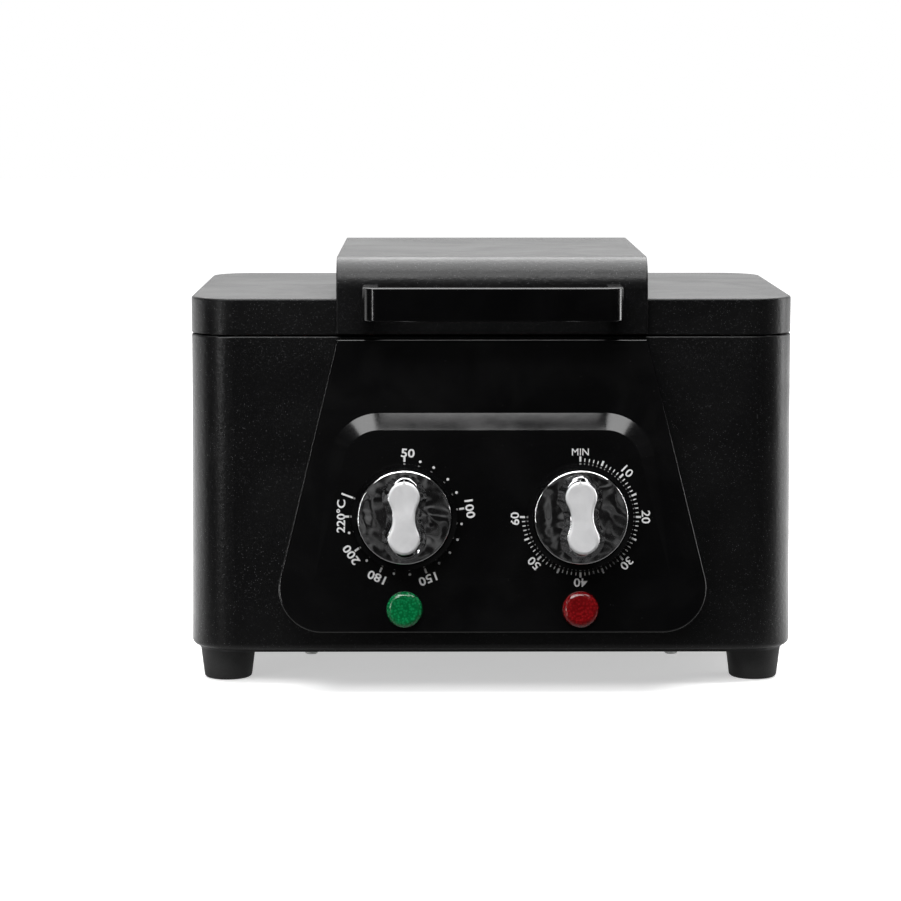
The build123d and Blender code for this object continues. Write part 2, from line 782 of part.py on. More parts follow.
def make_cord_gland():
    """The empty cable gland in the rear wall: flange, domed collar and threaded neck."""
    wall = rear + (body_top - gland_height) * tan(radians(body_draft))
    place = facing(gland_x, wall, gland_height, (0, 1, 0))
    flange = Pos(0, 0, -0.5) * Cylinder(gland_flange, gland_flange_height + 0.5, align=LOW)
    collar = Pos(0, 0, gland_flange_height) * Cylinder(gland_dome_radius, gland_dome_height, align=LOW)
    collar = fillet(collar.edges().group_by(Axis.Z)[-1], 2.5)
    gland = place * (flange + collar) - body_block(0, body_base, body_top)
    stem = Pos(0, 0, 1) * Cylinder(gland_neck, gland_inside + 1, align=HIGH)
    gland += place * stem
    return gland - place * Cylinder(gland_bore, 60)


def make_gland_nut():
    """The nut that holds the gland from inside, seated on the leaning wall."""
    wall = rear + (body_top - gland_height) * tan(radians(body_draft))
    body = nut(gland_neck, 2 * gland_neck + 5, gland_nut_height + 0.5)
    inside = body_block(body_sheet, body_base + body_sheet, body_top - body_sheet)
    return facing(gland_x, wall - body_sheet + 0.5, gland_height, (0, -1, 0)) * body & inside


terminal_x = 74.0
terminal_y = 58.0
terminal_screw_places = [(terminal_x - 8, terminal_y), (terminal_x + 8, terminal_y)]


def make_terminal_block():
    """A three-way screw terminal block on the base plate."""
    low = plate_top
    body = Pos(terminal_x, terminal_y, low) * Box(block_length, block_width, block_height, align=LOW)
    for n in (-1, 0, 1):
        x = terminal_x + n * 15
        body -= Pos(x, terminal_y, low + 5) * Rot(90, 0, 0) * Cylinder(1.8, block_width + 2)
        for y in (-4.5, 4.5):
            body -= Pos(x, terminal_y + y, low + block_height) * Cylinder(1.9, 5)
    for n in (-0.5, 0.5):
        notch = Pos(terminal_x + n * 15, terminal_y, low + block_height)
        body -= notch * Box(1.2, block_width + 2, 8)
    for x, y in terminal_screw_places:
        body -= Pos(x, y, low + 3) * hole(6)
    return body


def terminal_screw(x, y):
    return Pos(x, y, plate_under) * Rot(180, 0, 0) * screw(base_sheet + 2.6)


def make_lid_shell():
    """The lid: a shallow drawn cover with posts inside for the liner."""
    outer = slab(body_width, body_depth, body_corner, 0, lid_low, lid_top)
    outer = fillet(outer.edges().group_by(Axis.Z)[-1], lid_edge)
    inner = slab(
        body_width - 2 * lid_sheet, body_depth - 2 * lid_sheet, body_corner - lid_sheet, 0,
        lid_low - 1, lid_top - lid_sheet,
    )
    lid = outer - inner
    for x, y in post_places:
        post = block((x - post_radius, x + post_radius), (y - post_radius, y + post_radius),
                     (liner_low + liner_sheet, lid_top - lid_sheet + 0.1))
        lid += fillet(post.edges().filter_by(Axis.Z), post_radius * 0.9)
        lid -= Pos(x, y, liner_low + liner_sheet + 7) * hole(12)
    for x, y in band_screw_places:
        lid -= Pos(x, y, lid_top + 1) * hole(5, screw_radius + hole_play)
    for x, z in hinge_screw_places(low_leaf=False):
        lid -= facing(x, rear + 2, z, (0, 1, 0)) * hole(8)
    return lid


band_screw_places = [(x, y) for x in (-50.0, 50.0) for y in (-30.0, 50.0)]


def band_profile(inset, nose):
    """The band's side view, with both ends of its top rounded down."""
    y_front = front - band_proud + inset
    y_rear = rear - inset
    high = band_top - inset
    low = lid_low + band_low_gap
    points = [(y_front, low), (y_rear, low), (y_rear, high), (y_front, high)]
    outline = make_face(Polyline(*points, close=True))
    return fillet(outline.vertices().sort_by(Axis.Y)[-2:], nose)


def band_block(inset, nose):
    """The band's side view run across its width."""
    half = band_width / 2 - inset
    side = Plane(origin=(-half, 0, 0), x_dir=(0, 1, 0), z_dir=(1, 0, 0))
    return extrude(side * band_profile(inset, nose), amount=2 * half)


def band_outer():
    outer = band_block(0, band_nose)
    half = band_width / 2
    sides = [
        edge for edge in outer.edges()
        if abs(abs(edge.center().X) - half) < 1e-3 and edge.bounding_box().max.Z > lid_top + 0.1
    ]
    return fillet(sides, band_edge)


def make_lid_band():
    """The raised band: a moulded hood with bosses for the screws that hold it to the lid."""
    hood = band_outer() - band_block(band_wall, band_nose - band_wall)
    hood += band_outer() & block((-200, 200), (front - band_proud, front), (lid_low, lid_top))
    for x, y in band_screw_places:
        boss = Pos(x, y, lid_top) * Cylinder(4, band_rise - band_wall + 0.1, align=LOW)
        hood += boss
        hood -= Pos(x, y, lid_top - 1) * Cylinder(screw_radius + screw_play, 11, align=LOW)
    hood -= slab(body_width, body_depth, body_corner, 0, lid_low - 5, lid_top)
    for x in handle_screw_places:
        hood -= facing(x, front, handle_screw_z, (0, -1, 0)) * Cylinder(screw_radius + hole_play, 12)
    return hood


def band_screw(x, y):
    """A screw up through the lid into a boss of the band."""
    return Pos(x, y, lid_top - lid_sheet) * Rot(180, 0, 0) * screw(lid_sheet + 9.5)


handle_post_middle = handle_width / 2 - handle_post / 2
handle_screw_places = (-handle_post_middle, handle_post_middle)
handle_screw_z = lid_top + small_head + 0.4


def make_lid_handle():
    """The bar handle: rounded outer corners, posts let onto the band's front."""
    y_back = front - band_proud
    y_out = y_back - handle_reach
    seat = 4.0
    outer_middle = (y_out + y_back + seat) / 2
    outer = Pos(0, outer_middle) * Rectangle(handle_width, handle_reach + seat)
    outer = fillet(outer.vertices().sort_by(Axis.Y)[:2], handle_outer)
    gap_low = y_out + handle_bar
    gap = Pos(0, (gap_low + y_back + 2 * seat) / 2) * Rectangle(
        handle_width - 2 * handle_post, y_back + 2 * seat - gap_low
    )
    gap = fillet(gap.vertices().sort_by(Axis.Y)[:2], handle_inner)
    bar = extrude(Pos(0, 0, handle_low) * outer, amount=handle_height)
    bar = fillet(bar.edges().group_by(Axis.Z)[0] + bar.edges().group_by(Axis.Z)[-1], handle_edge)
    bar -= extrude(Pos(0, 0, handle_low - 1) * gap, amount=handle_height + 2)
    bar -= band_outer()
    bar -= block((-200, 200), (y_back + 0.5, 100), (0, 300))
    for x in handle_screw_places:
        pilot = facing(x, y_back + 1, handle_screw_z, (0, -1, 0))
        bar -= pilot * Cylinder(screw_radius + screw_play, 11, align=LOW)
    return bar


def handle_screw(x):
    """A screw from inside the band into the handle's post."""
    inside = front - band_proud + band_wall
    return facing(x, inside, handle_screw_z, (0, 1, 0)) * screw(band_wall + 9, head=small_head)


def make_lid_liner():
    """The stainless liner: a flat plate with its edge turned up."""
    length = body_width - 2 * liner_inset
    width = body_depth - 2 * liner_inset
    corner = liner_corner
    low = liner_low
    pan = slab(length, width, corner, 0, low, low + liner_turn)
    pan = fillet(pan.edges().group_by(Axis.Z)[0], 1.6)
    inner = slab(
        length - 2 * liner_sheet, width - 2 * liner_sheet, corner - liner_sheet, 0,
        low + liner_sheet, low + liner_turn + 1,
    )
    pan -= fillet(inner.edges().group_by(Axis.Z)[0], 0.8)
    for x, y in post_places:
        pan -= Pos(x, y, low + 2) * hole(5, screw_radius + hole_play)
    return pan


def liner_screw(x, y):
    return Pos(x, y, liner_low) * Rot(180, 0, 0) * screw(liner_sheet + 6, head=small_head, height=1.2)


def make_lid_insulation():
    """The insulating pad between liner and lid, cut round the posts and the band's screws."""
    gap = liner_sheet + soft_gap
    inset = 2 * (liner_inset + gap)
    low = liner_low + gap
    high = lid_top - lid_sheet - soft_gap
    corner = liner_corner - liner_sheet - soft_gap
    pad = slab(body_width - inset, body_depth - inset, corner, 0, low, high)
    for x, y in post_places:
        pad -= Pos(x, y, low - 1) * Cylinder(post_radius * 1.5, 30, align=LOW)
    for x, y in band_screw_places:
        pad -= Pos(x, y, high - screw_head_height - soft_gap) * Cylinder(screw_head + 0.6, 9, align=LOW)
    return pad


def make_lid_seal():
    """The flat heat-proof seal that meets the chamber's flange."""
    inner_gap = seal_from_chamber
    outer_gap = inner_gap + seal_width
    low = body_top + chamber_sheet + soft_gap
    outer = slab(
        chamber_length + 2 * outer_gap, chamber_width + 2 * outer_gap, chamber_corner + outer_gap,
        chamber_back, low, liner_low,
    )
    outer = fillet(outer.edges().group_by(Axis.Z)[0], 0.9)
    inner = slab(
        chamber_length + 2 * inner_gap, chamber_width + 2 * inner_gap, chamber_corner + inner_gap,
        chamber_back, low - 1, liner_low + 1,
    )
    return outer - inner


def hinge_screw_places(low_leaf):
    """Screw positions on the rear face for the body leaves or the lid leaves."""
    drop = knuckle_radius + knuckle_gap + hinge_leaf_height / 2
    z = hinge_z - drop if low_leaf else hinge_z + drop
    return [(middle + dx, z) for middle in hinge_middles for dx in (-11.0, 11.0)]


def knuckle(x, length, bore):
    """A tube round the hinge axis and the tongue that joins it to its leaf."""
    tube = Cylinder(knuckle_radius, length) - Cylinder(bore, length + 2)
    return Pos(x, hinge_y, hinge_z) * Rot(0, 90, 0) * tube


def make_hinge_leaf(middle, up):
    """One leaf of a butt hinge: up is 1 for the lid's leaf and -1 for the body's."""
    near = knuckle_radius + knuckle_gap
    far = near + hinge_leaf_height
    heights = sorted((hinge_z + up * near, hinge_z + up * far))
    plate = block((middle - hinge_length / 2, middle + hinge_length / 2), (rear, rear + hinge_sheet), heights)
    third = hinge_length / 3
    centres = (0,) if up > 0 else (-third, third)
    bore = hinge_pin_radius + (hinge_play if up > 0 else 0.02)
    length = third - knuckle_gap
    for dx in centres:
        x = middle + dx
        tongue_heights = sorted((hinge_z, hinge_z + up * (near + 0.1)))
        tongue = block((x - length / 2, x + length / 2), (rear, rear + hinge_sheet), tongue_heights)
        tongue -= Pos(x, hinge_y, hinge_z) * Rot(0, 90, 0) * Cylinder(bore + 0.5, length + 2)
        plate += tongue + knuckle(x, length, bore)
    plate -= body_block(0, body_base, body_top)
    for x, z in hinge_screw_places(low_leaf=up < 0):
        plate -= facing(x, rear + 9, z, (0, 1, 0)) * hole(12, screw_radius + hole_play)
    return plate


def make_hinge_pin(middle):
    """The headed pin through a hinge's three knuckles."""
    pin = Cylinder(hinge_pin_radius, hinge_length)
    head = Cylinder(pin_head_radius, pin_head_height, align=LOW)
    pin += Pos(0, 0, hinge_length / 2) * head
    pin += Pos(0, 0, -hinge_length / 2 - pin_head_height) * head
    return Pos(middle, hinge_y, hinge_z) * Rot(0, 90, 0) * pin


def hinge_screw(x, z):
    return facing(x, rear + hinge_sheet, z, (0, 1, 0)) * screw(hinge_sheet + 4.5, height=1.3)


nodes = {}
nodes["housing_shell"] = make_housing_shell()
nodes["base_plate"] = make_base_plate()
foot_names = ("foot_front_left", "foot_front_right", "foot_rear_left", "foot_rear_right")
for name, (x, y) in zip(foot_names, foot_places):
    nodes[name] = make_foot(x, y)
nodes["foot_screws"] = group(foot_screw(x, y) for x, y in foot_places)
nodes["foot_nuts"] = group(
    Pos(x, y, plate_top) * nut(stud_radius, nut_across, nut_height) for x, y in foot_places
)
nodes["base_screws"] = group(
    Pos(x, y, plate_under) * Rot(180, 0, 0) * screw(base_sheet + body_sheet + 3, height=1.4)
    for x, y in base_screw_places
)
nodes["chamber"] = make_chamber()
nodes["chamber_screws"] = group(
    Pos(x, y, body_top + chamber_sheet) * screw(chamber_sheet + body_sheet + 3, height=1.2)
    for x, y in chamber_screw_places
)
nodes["instrument_tray"] = make_tray()
nodes["heater_plate"] = make_heater_plate()
nodes["heater_clamp"] = make_heater_clamp()
nodes["heater_studs"] = group(heater_stud(x) for x in (-stud_spacing / 2, stud_spacing / 2))
nodes["insulation_jacket"] = make_insulation_jacket()
nodes["control_panel"] = make_control_panel()
nodes["panel_screws"] = group(panel_screw(x, z) for x, z in panel_post_places)
nodes["thermostat_case"] = dial_plane(-1) * make_thermostat_case()
nodes["timer_case"] = dial_plane(1) * make_timer_case()
nodes["timer_bell"] = dial_plane(1) * make_timer_bell()
nodes["dial_screws"] = group(
    dial_screw(side, x)
    for side in (-1, 1)
    for x in (-dial_screw_spacing / 2, dial_screw_spacing / 2)
)
nodes["sensing_bulb"] = make_sensing_bulb()
nodes["bulb_clips"] = group(bulb_clip(bulb_left + dx) for dx in (14.0, 56.0))
nodes["green_lens"] = lamp_plane(-1) * make_lens()
nodes["red_lens"] = lamp_plane(1) * make_lens()
nodes["lamp_nuts"] = group(lamp_plane(side) * make_lamp_nut() for side in (-1, 1))
nodes["cord_gland"] = make_cord_gland()
nodes["gland_nut"] = make_gland_nut()
nodes["terminal_block"] = make_terminal_block()
nodes["terminal_screws"] = group(terminal_screw(x, y) for x, y in terminal_screw_places)
hinge_sides = ("left", "right")
for side, middle in zip(hinge_sides, hinge_middles):
    nodes["body_hinge_leaf_" + side] = make_hinge_leaf(middle, -1)
    nodes["lid_hinge_leaf_" + side] = make_hinge_leaf(middle, 1)
    nodes["hinge_pin_" + side] = make_hinge_pin(middle)
nodes["body_hinge_screws"] = group(hinge_screw(x, z) for x, z in hinge_screw_places(True))
nodes["lid_hinge_screws"] = group(hinge_screw(x, z) for x, z in hinge_screw_places(False))
nodes["lid_shell"] = make_lid_shell()
nodes["lid_band"] = make_lid_band()
nodes["band_screws"] = group(band_screw(x, y) for x, y in band_screw_places)
nodes["lid_handle"] = make_lid_handle()
nodes["handle_screws"] = group(handle_screw(x) for x in handle_screw_places)
nodes["lid_liner"] = make_lid_liner()
nodes["liner_screws"] = group(liner_screw(x, y) for x, y in post_places)
nodes["lid_insulation"] = make_lid_insulation()
nodes["lid_seal"] = make_lid_seal()
temperature_place = dial_plane(-1)
timer_place = dial_plane(1) * Rot(0, 0, timer_rest)
nodes["temperature_knob_skirt"] = temperature_place * make_knob_skirt()
nodes["temperature_knob_cap"] = temperature_place * make_knob_cap()
nodes["thermostat_shaft"] = temperature_place * make_shaft()
nodes["timer_knob_skirt"] = timer_place * make_knob_skirt()
nodes["timer_knob_cap"] = timer_place * make_knob_cap()
nodes["timer_shaft"] = timer_place * make_shaft()

whole = Compound(children=[Compound(shape.wrapped) for shape in nodes.values()])
outline = whole.bounding_box()
shift = -(outline.min.Y + outline.max.Y) / 2
for name, shape in nodes.items():
    solids = (Pos(0, shift, 0) * shape).solids()
    export_step(solids[0] if len(solids) == 1 else Compound(solids), "parts/" + name + ".step")

print("nodes", len(nodes), "shift along Y", round(shift, 4))
print("outline", outline)
for side, label in ((-1, "temperature"), (1, "timer")):
    place = dial_plane(side)
    print(label, "axis at", place.origin + Vector(0, shift, 0), "inward", place.z_dir * -1)
print("lid hinge at y", round(hinge_y + shift, 4), "z", hinge_z)
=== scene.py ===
# %% [markdown]
# # A small dry heat sterilizer, dressed for its picture
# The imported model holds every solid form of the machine. This lesson loads it as a fixed
# frame, gives each part its real finish, and adds what is only ink on the real one: the
# printed dials and the pointer marks. The frame comes first, because every later step
# measures from it. Lengths are in metres, and a value in millimetres is multiplied by MM.

# %% Load the frame
import json
import math
import bmesh
import bpy
from mathutils import Matrix, Vector, bvhtree


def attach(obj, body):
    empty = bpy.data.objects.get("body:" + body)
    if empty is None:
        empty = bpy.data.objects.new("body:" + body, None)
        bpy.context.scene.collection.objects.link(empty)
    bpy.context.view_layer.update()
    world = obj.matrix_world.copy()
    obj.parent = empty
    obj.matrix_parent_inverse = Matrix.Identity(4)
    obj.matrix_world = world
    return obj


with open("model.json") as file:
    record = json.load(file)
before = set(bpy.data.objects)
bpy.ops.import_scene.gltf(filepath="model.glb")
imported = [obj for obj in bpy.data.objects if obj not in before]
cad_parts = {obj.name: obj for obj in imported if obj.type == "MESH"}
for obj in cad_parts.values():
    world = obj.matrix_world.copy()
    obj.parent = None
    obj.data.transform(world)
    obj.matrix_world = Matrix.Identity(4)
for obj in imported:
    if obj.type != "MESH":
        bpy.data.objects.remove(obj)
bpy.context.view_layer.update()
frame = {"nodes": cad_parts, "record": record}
nodes = frame["nodes"]
MM = 0.001


# %% [markdown]
# ## The camera
# The picture was taken from about 1.3 metres in front of the machine and a little above
# its lid. A long lens at that distance keeps the front's sides almost upright. The camera
# stands slightly left of the middle and is turned towards the point that lies in the
# picture's centre, which needs no shift of the lens.

# %% Place the camera
CAMERA_PLACE = Vector((-24.0, -1378.0, 265.0)) * MM
CAMERA_AIM = Vector((-17.7, -68.0, 101.9)) * MM
LENS = 123.0                 # focal length in mm
SENSOR = 36.0                # width of the sensor in mm
NEAR, FAR = 0.05, 50.0       # nothing closer or further away is drawn

camera_data = bpy.data.cameras.new("picture_camera")
camera_data.sensor_width = SENSOR
camera_data.lens = LENS
camera_data.clip_start = NEAR
camera_data.clip_end = FAR
camera = bpy.data.objects.new("picture_camera", camera_data)
bpy.context.scene.collection.objects.link(camera)
camera.location = CAMERA_PLACE
camera.rotation_mode = "QUATERNION"
camera.rotation_quaternion = (CAMERA_AIM - CAMERA_PLACE).to_track_quat("-Z", "Y")
bpy.context.scene.camera = camera
look = (CAMERA_AIM - CAMERA_PLACE).normalized()
print("camera looks down by", round(-math.degrees(math.asin(look.z)), 2), "degrees")


# %% [markdown]
# ## A place to work on each dial
# Both dials are printed on a raised field that leans back a little. Working in a flat
# drawing and turning it onto that plane at the end is simpler than working on the slope,
# so each side gets one matrix that carries flat things to the field.

# %% The dials' planes
DIAL_LEAN = math.radians(6.5)
DIAL_CENTRE = Vector((37.3, -86.1724, 75.7)) * MM
TIMER_REST = math.radians(3.4)           # how far the timer's grip is turned at rest
GRIP_TOP = 19.3              # the grip's flat top above the field, in mm
DIAL_OUT = Vector((0.0, -math.cos(DIAL_LEAN), math.sin(DIAL_LEAN)))
DIAL_UP = Vector((0.0, math.sin(DIAL_LEAN), math.cos(DIAL_LEAN)))
LEFT, RIGHT = -1, 1          # the temperature's dial and the timer's


def dial_matrix(side, turn=0.0):
    """Carries X right, Y up and Z outward to the field at one knob's axis."""
    centre = Vector((side * DIAL_CENTRE.x, DIAL_CENTRE.y, DIAL_CENTRE.z))
    flat = Matrix((
        (1.0, DIAL_UP.x, DIAL_OUT.x, centre.x),
        (0.0, DIAL_UP.y, DIAL_OUT.y, centre.y),
        (0.0, DIAL_UP.z, DIAL_OUT.z, centre.z),
        (0.0, 0.0, 0.0, 1.0),
    ))
    return flat @ Matrix.Rotation(turn, 4, "Z")


# %% [markdown]
# ## Small helpers for shader trees
# A material is a tree of nodes, and building one by hand takes many lines. A few helpers do
# the dull work: they add a node and fill its inputs, link two sockets, do a sum, mix two
# colours, map a range, and start a fresh group or material.

# %% Helpers that add and feed nodes
def add(tree, kind, **values):
    """A node of that kind; in_NAME or in_NUMBER fills an input, other names are settings."""
    node = tree.nodes.new(kind)
    for key, value in values.items():
        if key.startswith("in_"):
            label = key[3:]
            where = int(label) if label.isdigit() else label.replace("_", " ")
            node.inputs[where].default_value = value
        else:
            setattr(node, key, value)
    return node


def link(tree, source, target):
    """Joins an output to an input."""
    tree.links.new(source, target)


def feed(tree, socket, value):
    """Gives an input a number or a colour, or links it to the output that drives it."""
    if isinstance(value, tuple):
        socket.default_value = (*value, 1.0)
    elif isinstance(value, (int, float)):
        socket.default_value = value
    else:
        link(tree, value, socket)


def object_place(tree):
    """Object coordinates, which keep a pattern at its real scale and in its place."""
    return add(tree, "ShaderNodeTexCoord").outputs["Object"]


# %% Helpers for sums, mixes and ranges
def maths(tree, operation, *values):
    """A Math node, fed by sockets or plain numbers."""
    node = add(tree, "ShaderNodeMath", operation=operation)
    for socket, value in zip(node.inputs, values):
        feed(tree, socket, value)
    return node.outputs[0]


def blend_colours(tree, share, low, high):
    """A colour mix: low where the share is 0 and high where it is 1."""
    node = add(tree, "ShaderNodeMix", data_type="RGBA")
    for number, value in ((0, share), (6, low), (7, high)):
        feed(tree, node.inputs[number], value)
    return node.outputs[2]


def span(tree, value, low, high, to_low=0.0, to_high=1.0):
    """Maps a value from one range to another, smoothly and without overshoot."""
    node = add(tree, "ShaderNodeMapRange", interpolation_type="SMOOTHSTEP",
               in_1=low, in_2=high, in_3=to_low, in_4=to_high)
    link(tree, value, node.inputs[0])
    return node.outputs[0]


# %% Helpers for groups and materials
def new_group(name, inputs, outputs):
    """A shader node group with named number inputs and named outputs."""
    group = bpy.data.node_groups.new(name, "ShaderNodeTree")
    sockets = group.interface
    for label, value in inputs.items():
        socket = sockets.new_socket(label, in_out="INPUT", socket_type="NodeSocketFloat")
        socket.default_value = value
    for label in outputs:
        sockets.new_socket(label, in_out="OUTPUT", socket_type="NodeSocketFloat")
    return group, add(group, "NodeGroupInput"), add(group, "NodeGroupOutput")


def use_group(tree, group, **values):
    """Places a shared group in a material, with this material's own values."""
    node = add(tree, "ShaderNodeGroup", node_tree=group)
    for label, value in values.items():
        node.inputs[label.replace("_", " ")].default_value = value
    return node


def new_material(name, colour, rough, **constants):
    """A material with one Principled shader; constants go straight on its sockets."""
    material = bpy.data.materials.new(name)
    material.use_nodes = True
    tree = material.node_tree
    shader = tree.nodes["Principled BSDF"]
    shader.inputs["Base Color"].default_value = (*colour, 1.0)
    shader.inputs["Roughness"].default_value = rough
    for label, value in constants.items():
        shader.inputs[label.replace("_", " ")].default_value = value
    material.diffuse_color = (*colour, 1.0)
    return material, tree, shader


def bump(tree, shader, height, depth):
    """Lets a height pattern tilt the surface; depth is in metres."""
    node = add(tree, "ShaderNodeBump", in_Strength=1.0, in_Distance=depth)
    link(tree, height, node.inputs["Height"])
    link(tree, node.outputs["Normal"], shader.inputs["Normal"])


# %% [markdown]
# ## Shared surface effects
# The same few effects turn up on many surfaces: sparkling flecks in the paint, faint marks
# from hands and cloths, the fine lines of a drawn or brushed metal, and the grain of a
# moulding. Each is a node group, built once, with inputs for its sizes. Every group reads
# Object coordinates, so a pattern keeps its real scale and never slides.

# %% Flecks: tiny cells, each with its own brightness
def make_flecks():
    """A share of the cells shows a spot of its radius, and the rest stay dark."""
    group, ins, outs = new_group(
        "flecks", {"Per metre": 2200.0, "Share": 0.12, "Radius": 0.42}, ("Mask",))
    cells = add(group, "ShaderNodeTexVoronoi", feature="F1")
    link(group, object_place(group), cells.inputs["Vector"])
    link(group, ins.outputs["Per metre"], cells.inputs["Scale"])
    random = add(group, "ShaderNodeSeparateColor")
    link(group, cells.outputs["Color"], random.inputs[0])
    chosen = maths(group, "LESS_THAN", random.outputs[0], ins.outputs["Share"])
    inside = maths(group, "LESS_THAN", cells.outputs["Distance"], ins.outputs["Radius"])
    spot = maths(group, "MULTIPLY", chosen, inside)
    link(group, maths(group, "MULTIPLY", spot, random.outputs[1]), outs.inputs["Mask"])
    return group


# %% Marks: soft clouds of wiped and handled gloss
CLOUD_THIN, CLOUD_FULL = 0.35, 0.68


def make_marks():
    """Roughness drifts between Low and High, and Cloud says where it is high."""
    group, ins, outs = new_group("handling_marks", {"Per metre": 18.0, "Low": 0.2, "High": 0.3},
                                 ("Roughness", "Cloud"))
    cloud = add(group, "ShaderNodeTexNoise", in_Detail=5.0, in_Roughness=0.55, in_Distortion=0.6)
    link(group, object_place(group), cloud.inputs["Vector"])
    link(group, ins.outputs["Per metre"], cloud.inputs["Scale"])
    soft = span(group, cloud.outputs[0], CLOUD_THIN, CLOUD_FULL)
    spread = maths(group, "SUBTRACT", ins.outputs["High"], ins.outputs["Low"])
    rough = maths(group, "MULTIPLY_ADD", soft, spread, ins.outputs["Low"])
    link(group, rough, outs.inputs["Roughness"])
    link(group, soft, outs.inputs["Cloud"])
    return group


# %% Drawn lines: noise stretched along one axis
def make_drawn_lines():
    """Few changes per metre along X and many across it look like fine lines."""
    group, ins, outs = new_group("drawn_lines", {"Along": 14.0, "Across": 2600.0}, ("Line",))
    spread = add(group, "ShaderNodeCombineXYZ")
    for axis, label in enumerate(("Along", "Across", "Across")):
        link(group, ins.outputs[label], spread.inputs[axis])
    stretch = add(group, "ShaderNodeVectorMath", operation="MULTIPLY")
    link(group, object_place(group), stretch.inputs[0])
    link(group, spread.outputs[0], stretch.inputs[1])
    lines = add(group, "ShaderNodeTexNoise", in_Scale=1.0, in_Detail=3.0)
    link(group, stretch.outputs[0], lines.inputs["Vector"])
    link(group, lines.outputs[0], outs.inputs["Line"])
    return group


# %% Fine grain: the dull skin of a moulding, a casting or a paint
def make_grain():
    """Plain fine noise, as a height."""
    group, ins, outs = new_group("fine_grain", {"Per metre": 1500.0, "Detail": 3.0}, ("Height",))
    noise = add(group, "ShaderNodeTexNoise", in_Roughness=0.6)
    link(group, object_place(group), noise.inputs["Vector"])
    link(group, ins.outputs["Per metre"], noise.inputs["Scale"])
    link(group, ins.outputs["Detail"], noise.inputs["Detail"])
    link(group, noise.outputs[0], outs.inputs["Height"])
    return group


# %% Build the shared effects
FLECKS = make_flecks()
MARKS = make_marks()
DRAWN_LINES = make_drawn_lines()
GRAIN = make_grain()
print("shared effects:", [g.name for g in (FLECKS, MARKS, DRAWN_LINES, GRAIN)])


# %% [markdown]
# ## The speckled paint
# The body and lid wear a baked black paint with a fine mineral sparkle. It could be a flat
# black with noise, but the real one shows separate glints, so flecks lighten the colour
# cell by cell. A slow ripple in the bump gives the slightly uneven skin of sprayed paint.

# %% Mix the speckled paint
PAINT_BLACK = (0.0034, 0.0034, 0.0037)
PAINT_GLINT = (0.13, 0.13, 0.135)
FINE_FLECK_LIGHT = 0.45      # how bright the fine flecks are beside the coarse ones
PAINT_RIPPLE = 0.00012       # metres


def make_speckled_paint():
    """Two sizes of flecks in a black ground, over a slow ripple."""
    material, tree, shader = new_material("speckled_paint", (0.006, 0.006, 0.0065), 0.36,
                                          Specular_IOR_Level=0.32)
    coarse = use_group(tree, FLECKS, Per_metre=2400.0, Share=0.09, Radius=0.34)
    fine = use_group(tree, FLECKS, Per_metre=5200.0, Share=0.16, Radius=0.36)
    glint = maths(tree, "MULTIPLY_ADD", fine.outputs["Mask"], FINE_FLECK_LIGHT,
                  coarse.outputs["Mask"])
    link(tree, blend_colours(tree, glint, PAINT_BLACK, PAINT_GLINT), shader.inputs["Base Color"])
    marks = use_group(tree, MARKS, Per_metre=22.0, Low=0.31, High=0.4)
    link(tree, marks.outputs["Roughness"], shader.inputs["Roughness"])
    ripple = use_group(tree, GRAIN, Per_metre=520.0, Detail=2.0)
    bump(tree, shader, ripple.outputs["Height"], PAINT_RIPPLE)
    return material


# %% [markdown]
# ## Gloss black
# The control panel, the handle and the knobs' skirts are a smooth gloss black. A plain
# black with low roughness looks like glass, so wiped clouds change its gloss a little, a
# few dust specks lighten it, and a very shallow ripple bends what it mirrors.

# %% Mix the gloss black
GLOSS_GROUND = (0.0022, 0.0022, 0.0024)
GLOSS_CLEAN = (0.0018, 0.0018, 0.002)
GLOSS_WIPED = (0.0028, 0.0028, 0.003)
DUST = (0.06, 0.06, 0.06)


def make_gloss_black(name, low, high, ripple_depth):
    """A moulded or sprayed gloss black; low and high are the ends of its roughness."""
    material, tree, shader = new_material(name, GLOSS_GROUND, low)
    dust = use_group(tree, FLECKS, Per_metre=900.0, Share=0.02, Radius=0.12)
    marks = use_group(tree, MARKS, Per_metre=30.0, Low=low, High=high)
    ground = blend_colours(tree, marks.outputs["Cloud"], GLOSS_CLEAN, GLOSS_WIPED)
    dusty = blend_colours(tree, dust.outputs["Mask"], ground, DUST)
    link(tree, dusty, shader.inputs["Base Color"])
    link(tree, marks.outputs["Roughness"], shader.inputs["Roughness"])
    ripple = use_group(tree, GRAIN, Per_metre=160.0, Detail=1.0)
    bump(tree, shader, ripple.outputs["Height"], ripple_depth)
    return material


# %% [markdown]
# ## Metals with drawn lines
# Zinc, stainless and copper differ mainly in colour and in how their fine lines spread a
# glint. One function makes them all, so that only the numbers change from one to the next.

# %% Mix a metal
# The colour is darker in the bottom of each drawn line: painted shade in the grooves.
LINE_GROOVE_SHADE = 0.12             # how much darker the bottom of a line is


def make_metal(name, colour, low, high, across, line_depth):
    """A metal with drawn lines, painted darker in their bottoms as shade; low and high are the
    ends of its roughness.
    """
    material, tree, shader = new_material(name, colour, low, Metallic=1.0)
    lines = use_group(tree, DRAWN_LINES, Along=16.0, Across=across)
    marks = use_group(tree, MARKS, Per_metre=40.0, Low=low, High=high)
    # Painted shade: the colour darkens where the lines' bump is low.
    groove_shaded = tuple(c * (1 - LINE_GROOVE_SHADE) for c in colour)
    lined = blend_colours(tree, lines.outputs["Line"], groove_shaded, colour)
    link(tree, lined, shader.inputs["Base Color"])
    link(tree, marks.outputs["Roughness"], shader.inputs["Roughness"])
    bump(tree, shader, lines.outputs["Line"], line_depth)
    return material
